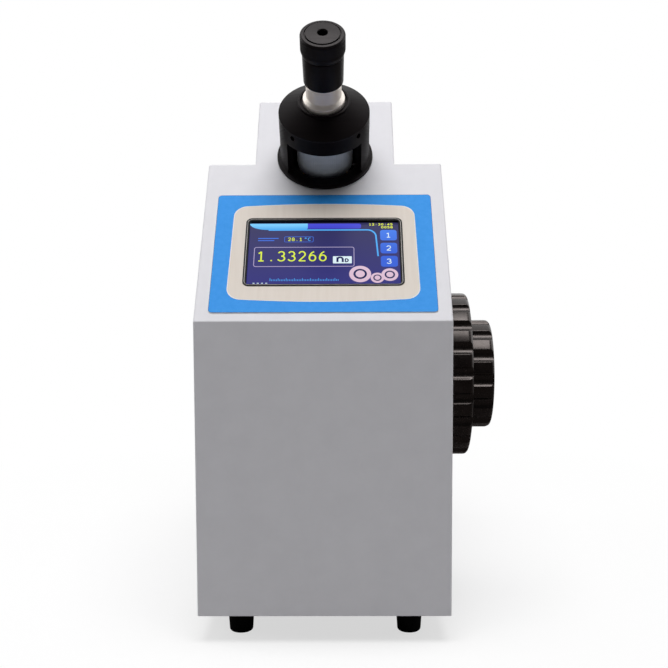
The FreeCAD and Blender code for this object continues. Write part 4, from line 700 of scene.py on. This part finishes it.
def knurl(count, depth, low, high, bore=10):
    """Straight knurling: the radius dips by depth (1 - |sin(count t / 2)|) between two heights."""
    def wave(t, r, h):
        inside = (h > low) & (h < high) & (r > bore)
        return -depth * (1 - np.abs(np.sin(count * t / 2))) * inside
    return wave


grip_low, grip_high, grip_radius, head_top = 89.4, 98.7, 14.1, 101.27
grip_rows = np.column_stack([np.full(12, grip_radius), np.linspace(grip_low - 0.2, grip_high + 0.2, 12)])
head_profile = np.concatenate([
    softened([(11.05, 97.4), (11.05, 85.5), (13.15, 85.5), (grip_radius, 88.8)], [0, 0, 0.2, 0.4]),
    grip_rows,
    softened([(grip_radius, 99.27), (13.3, 100.07), (11.5, 100.27), (11.5, 99.4), (10.7, 99.4),
              (10.7, 100.6)], [0.3, 0.3, 0.15, 0, 0, 0.15]),
    softened([(3.6, head_top), (3.1, head_top - 0.5), (3.1, 97.4)], [0.2, 0.2, 0])])
head = piece("focusing_head", turned(head_profile, 480, knurl(120, 0.14, grip_low, grip_high)), on_tower,
             eyepiece_black, "focus_head", sharp=40)
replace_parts(head, "eyepiece_head")
print("eyepiece top in mm:", np.round(on_tower([0, 0, head_top]) / MM, 1))

# %% [markdown]
# ## The dispersion drum
# The pale drum behind the tower's windows has fine lines along it for the fingertips. A thin
# ribbed sleeve on the CAD drum gives the lines without touching the drum itself.

# %% Ribbed sleeve of the drum
drum_radius, drum_low, drum_high = 18.5, -3.4, 28.2
sleeve_inner, sleeve_outer, sleeve_slope = drum_radius - 0.02, drum_radius + 0.16, 0.2
sleeve_heights = [drum_low + sleeve_slope, *np.linspace(0, 25, 8), drum_high - sleeve_slope]
sleeve_rows = np.array([(sleeve_inner, drum_low), *((sleeve_outer, h) for h in sleeve_heights),
                        (sleeve_inner, drum_high)])
piece("drum_ribs", turned(sleeve_rows, 540, knurl(90, 0.12, drum_low + 0.1, drum_high - 0.1)), on_tower,
      drum_metal, "compensator", sharp=60)

# %% [markdown]
# ## Handwheels
# Both wheels are turned with a wide rounding at the front, and round grooves are cut along the
# rim. The radius is the smaller of the turned section and the circle that bites into it, softly
# blended like a moulded grip. The grooves run out in the rounding, so the face stays a full circle.

# %% Fluted wheels
def soft_minimum(a, b, soft=0.12):
    """The smaller of two radii, softly blended: -soft log(e^(-a/soft) + e^(-b/soft))."""
    low = np.minimum(a, b)
    return low - soft * np.log(np.exp((low - a) / soft) + np.exp((low - b) / soft))


# Steep enough that the near side leaves the rim at once beside a groove.
far_out = 40


def groove_side(t, radius, count, chord, depth):
    """The near side of the groove's circle at turn t, and far outside the rim away from it."""
    groove = ((chord / 2) ** 2 + depth ** 2) / (2 * depth)
    centre = radius - depth + groove
    away = np.abs((t * count / (2 * np.pi) + 0.5) % 1 - 0.5) * 2 * np.pi / count
    inside = groove ** 2 - (centre * np.sin(away)) ** 2
    near = centre * np.cos(away) - np.sqrt(np.maximum(inside, 0))
    return np.where(inside > 0, near, near + far_out * away * radius)


def wheel(radius, count, chord, first, back, front, middle, steps, depth=2.3, edge_back=1.2,
          edge_front=3.0):
    """The rim is a turned section with rounded edges, cut by count grooves of a chord and a depth.

    first is the turn of one groove from the back in degrees. The rows in middle are circles."""
    t = np.linspace(0, 2 * np.pi, steps, endpoint=False)
    grooves = groove_side(t - math.radians(first), radius, count, chord, depth)
    a = np.linspace(0, np.pi / 2, 7)
    back_rows = np.stack([edge_back * (1 - np.sin(a)), back + edge_back * (1 - np.cos(a))], -1)
    front_rows = np.stack([edge_front * (1 - np.cos(a)), front - edge_front * (1 - np.sin(a))], -1)
    rim = np.concatenate([back_rows, front_rows])
    section = radius - rim[:, :1] + 0 * t[None]
    r = np.concatenate([soft_minimum(section, grooves[None]), np.array(middle)[:, :1] + 0 * t[None]])
    x = np.concatenate([rim[:, 1:], np.array(middle)[:, 1:]]) + 0 * t[None]
    return skin(np.stack([r * np.cos(t), r * np.sin(t), x], -1))


coarse_back, coarse_front = (corner.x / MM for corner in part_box("coarse_handwheel"))
fine_back, fine_front = (corner.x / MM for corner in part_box("fine_handwheel"))
coarse_face = [(40, coarse_front), (8.05, coarse_front), (8.05, coarse_back), (46, coarse_back)]
coarse_shape = wheel(radius=53.2, count=21, chord=8.1, first=1.0, back=coarse_back,
                     front=coarse_front, middle=coarse_face, steps=1260)
coarse = piece("coarse_wheel", coarse_shape, on_wheel, phenolic, "coarse_drive", sharp=40)
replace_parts(coarse, "coarse_handwheel")
hub = [(26.0, fine_front), (24.4, fine_front), (24.0, fine_front - 0.3), (23.6, fine_front - 1.6),
       (9.0, fine_front - 1.6), (8.5, fine_front - 1.3), (8.5, fine_front - 0.8), (8.0, fine_front - 0.5),
       (0, fine_front - 0.5), (0, fine_back), (29, fine_back)]
fine_shape = wheel(radius=35.3, count=14, chord=8.6, first=-0.3, back=fine_back, front=fine_front,
                   middle=hub, steps=840)
fine = piece("fine_wheel", fine_shape, on_wheel, phenolic, "fine_drive", sharp=40)
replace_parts(fine, "fine_handwheel")
print("wheels span in mm:", round(coarse_back, 2), "to", round(fine_front, 2))

# %% [markdown]
# ## Small pieces at the side and the rear
# The lamp over the prism table has a domed opal disc in its mouth. The power rocker has the usual
# two marks, a stroke for on and a ring for off, printed on its two slopes. Both ride on moving
# bodies, so they turn with the lamp and the rocker.

# %% Lamp disc and rocker marks
lamp_low, lamp_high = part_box("lamp_head")
lamp_middle = np.array([(lamp_low.x + lamp_high.x) / 2, (lamp_low.y + lamp_high.y) / 2, lamp_low.z])


def under_lamp(points):
    """(x, y, up) in mm from the middle of the lamp's mouth to the frame."""
    return np.asarray(points, float) * MM + lamp_middle


disc_radius, disc_top = 6.3, 1.0
dome = arc(0, 0.85, disc_radius, 0.75, 0, -90, 8)
disc_profile = np.concatenate([[(0, disc_top), (disc_radius, disc_top)], dome])
piece("lamp_disc", turned(disc_profile, 64), under_lamp, opal, "lamp")

rocker_joint = next(j for j in frame["joints"] if j["name"] == "power_rocker_tilt")
rocker_turn, rocker_valley, rocker_rise = math.radians(8), 3.8, 0.119


def on_rocker(points):
    """(across, up, above the surface) in mm: each half rises from the valley, then all is tilted."""
    x, up, h = np.moveaxis(np.asarray(points, float) * MM, -1, 0)
    out = rocker_valley * MM + rocker_rise * np.abs(up) + h
    c, d = math.cos(rocker_turn), math.sin(rocker_turn)
    return np.stack([x, out * c + up * d, up * c - out * d], -1) + np.array(rocker_joint["pos_m"])


marks = [[(0, 3.2), (0, 7.6)], arc(0, -5.4, 2.2, 2.2, 0, 375, 26)]
mark_pen, mark_sink = 0.8, 0.01
piece("rocker_marks", joined([ribbon(path, mark_pen, -mark_sink) for path in marks]), on_rocker,
      rocker_print, "rocker")
print("lamp disc and rocker marks at", np.round(lamp_middle / MM, 1), rocker_joint["pos_m"])

# %% [markdown]
# ## Camera
# The camera stands 0.7 m in front of the instrument, a little above it and nearly level, with the
# long lens of a product photograph.

# %% Camera
long_lens = 62.97
camera_data = bpy.data.cameras.new("camera")
camera_data.lens = long_lens
camera = bpy.data.objects.new("camera", camera_data)
pitch, yaw, roll = (math.radians(a) for a in (5.69, 0.51, -0.23))
stand = crease + np.array([12.7, -694.2, 61.4]) * MM
camera.matrix_world = (Matrix.Translation(stand) @ Matrix.Rotation(yaw, 4, "Z")
                       @ Matrix.Rotation(math.pi / 2 - pitch, 4, "X") @ Matrix.Rotation(roll, 4, "Z"))
bpy.context.scene.collection.objects.link(camera)
bpy.context.scene.camera = camera

# %% [markdown]
# ## Studio
# A white table and a large soft light overhead, with weaker ones at the sides. Far from the
# instrument the table fades into the white of the background, near it it keeps the shadow.

# %% Table, world and lights
def soft_light(name, place, target, width, height, power):
    """A rectangular area light at a place, turned to a target."""
    data = bpy.data.lights.new(name, "AREA")
    data.shape, data.size, data.size_y, data.energy = "RECTANGLE", width, height, power
    light = bpy.data.objects.new(name, data)
    light.location = place
    light.rotation_euler = (Vector(target) - Vector(place)).to_track_quat("-Z", "Y").to_euler()
    bpy.context.scene.collection.objects.link(light)
    return light


room_front, room_back = -0.55, 0.45


def white_world(grey, shine):
    """White to the camera. Each pair runs from in front of the object to behind it: grey lights its
    matt side, shine is what glossy surfaces mirror, so the room behind the camera is dark."""
    world = bpy.data.worlds.new("studio")
    bpy.context.scene.world = world
    world.use_nodes = True
    tree = world.node_tree
    where = add(tree, "ShaderNodeTexCoord").outputs["Generated"]
    facing = add(tree, "ShaderNodeSeparateXYZ", {0: where})
    room = add(tree, "ShaderNodeMapRange",
               {"Value": facing.outputs["Y"], "From Min": room_front, "From Max": room_back},
               interpolation_type="SMOOTHSTEP").outputs["Result"]
    matt, glossy = (add(tree, "ShaderNodeMapRange",
                        {"Value": room, "To Min": pair[0], "To Max": pair[1]}).outputs["Result"]
                    for pair in (grey, shine))
    path = add(tree, "ShaderNodeLightPath")
    level = add(tree, "ShaderNodeMix", {0: path.outputs["Is Glossy Ray"], 2: matt, 3: glossy},
                data_type="FLOAT").outputs[0]
    for ray in ("Is Camera Ray", "Is Transmission Ray"):
        level = add(tree, "ShaderNodeMath", {0: level, 1: path.outputs[ray]},
                    operation="MAXIMUM").outputs[0]
    tree.links.new(level, tree.nodes["Background"].inputs["Strength"])
    tree.nodes["Background"].inputs["Color"].default_value = (1, 1, 1, 1)


fade_from, fade_to, least_glow = 0.15, 0.5, 0.65


def table_top():
    """Near white to the camera, grey as a lamp, dark in reflections; far out it glows white."""
    material, tree, shader = finish("white_table_laminate", Roughness=0.6, Specular_IOR_Level=0.2)
    path = add(tree, "ShaderNodeLightPath")
    lamp = add(tree, "ShaderNodeMix",
               {0: path.outputs["Is Glossy Ray"], 6: colour("#c4c4c4"), 7: colour("#5c5654")},
               data_type="RGBA").outputs[2]
    tone = add(tree, "ShaderNodeMix", {0: path.outputs["Is Camera Ray"], 6: lamp, 7: colour("#fafafa")},
               data_type="RGBA")
    tree.links.new(tone.outputs[2], shader.inputs["Base Color"])
    where = add(tree, "ShaderNodeTexCoord").outputs["Object"]
    away = add(tree, "ShaderNodeVectorMath", {0: where}, operation="LENGTH").outputs["Value"]
    fade = add(tree, "ShaderNodeMapRange", {"Value": away, "From Min": fade_from, "From Max": fade_to,
                                            "To Min": least_glow}).outputs["Result"]
    share = add(tree, "ShaderNodeMath", {0: fade, 1: path.outputs["Is Camera Ray"]},
                operation="MULTIPLY").outputs[0]
    glow = add(tree, "ShaderNodeEmission", {"Color": (1, 1, 1, 1)})
    mix = add(tree, "ShaderNodeMixShader", {0: share, 1: shader.outputs[0], 2: glow.outputs[0]})
    tree.links.new(mix.outputs[0], tree.nodes["Material Output"].inputs["Surface"])
    return material


def table():
    """A flat square far larger than the view."""
    side = 4.0
    corners = [(-side, -side, 0), (side, -side, 0), (side, side, 0), (-side, side, 0)]
    mesh = bpy.data.meshes.new("table")
    mesh.from_pydata(corners, [], [(0, 1, 2, 3)])
    mesh.materials.append(table_top())
    obj = bpy.data.objects.new("table", mesh)
    bpy.context.scene.collection.objects.link(obj)


table()
white_world(grey=(0.04, 0.4), shine=(0.06, 1.0))
middle = (cad_low + cad_high) / 2
soft_light("overhead", (0.0, -0.48, 2.15), middle, width=1.6, height=1.2, power=39)
soft_light("left", (-1.4, 0.3, 1.0), middle, width=0.8, height=1.2, power=4)
soft_light("right", (1.4, 0.3, 1.0), middle, width=0.8, height=1.2, power=3)
bpy.context.scene.view_settings.view_transform = "Standard"
print("studio ready")
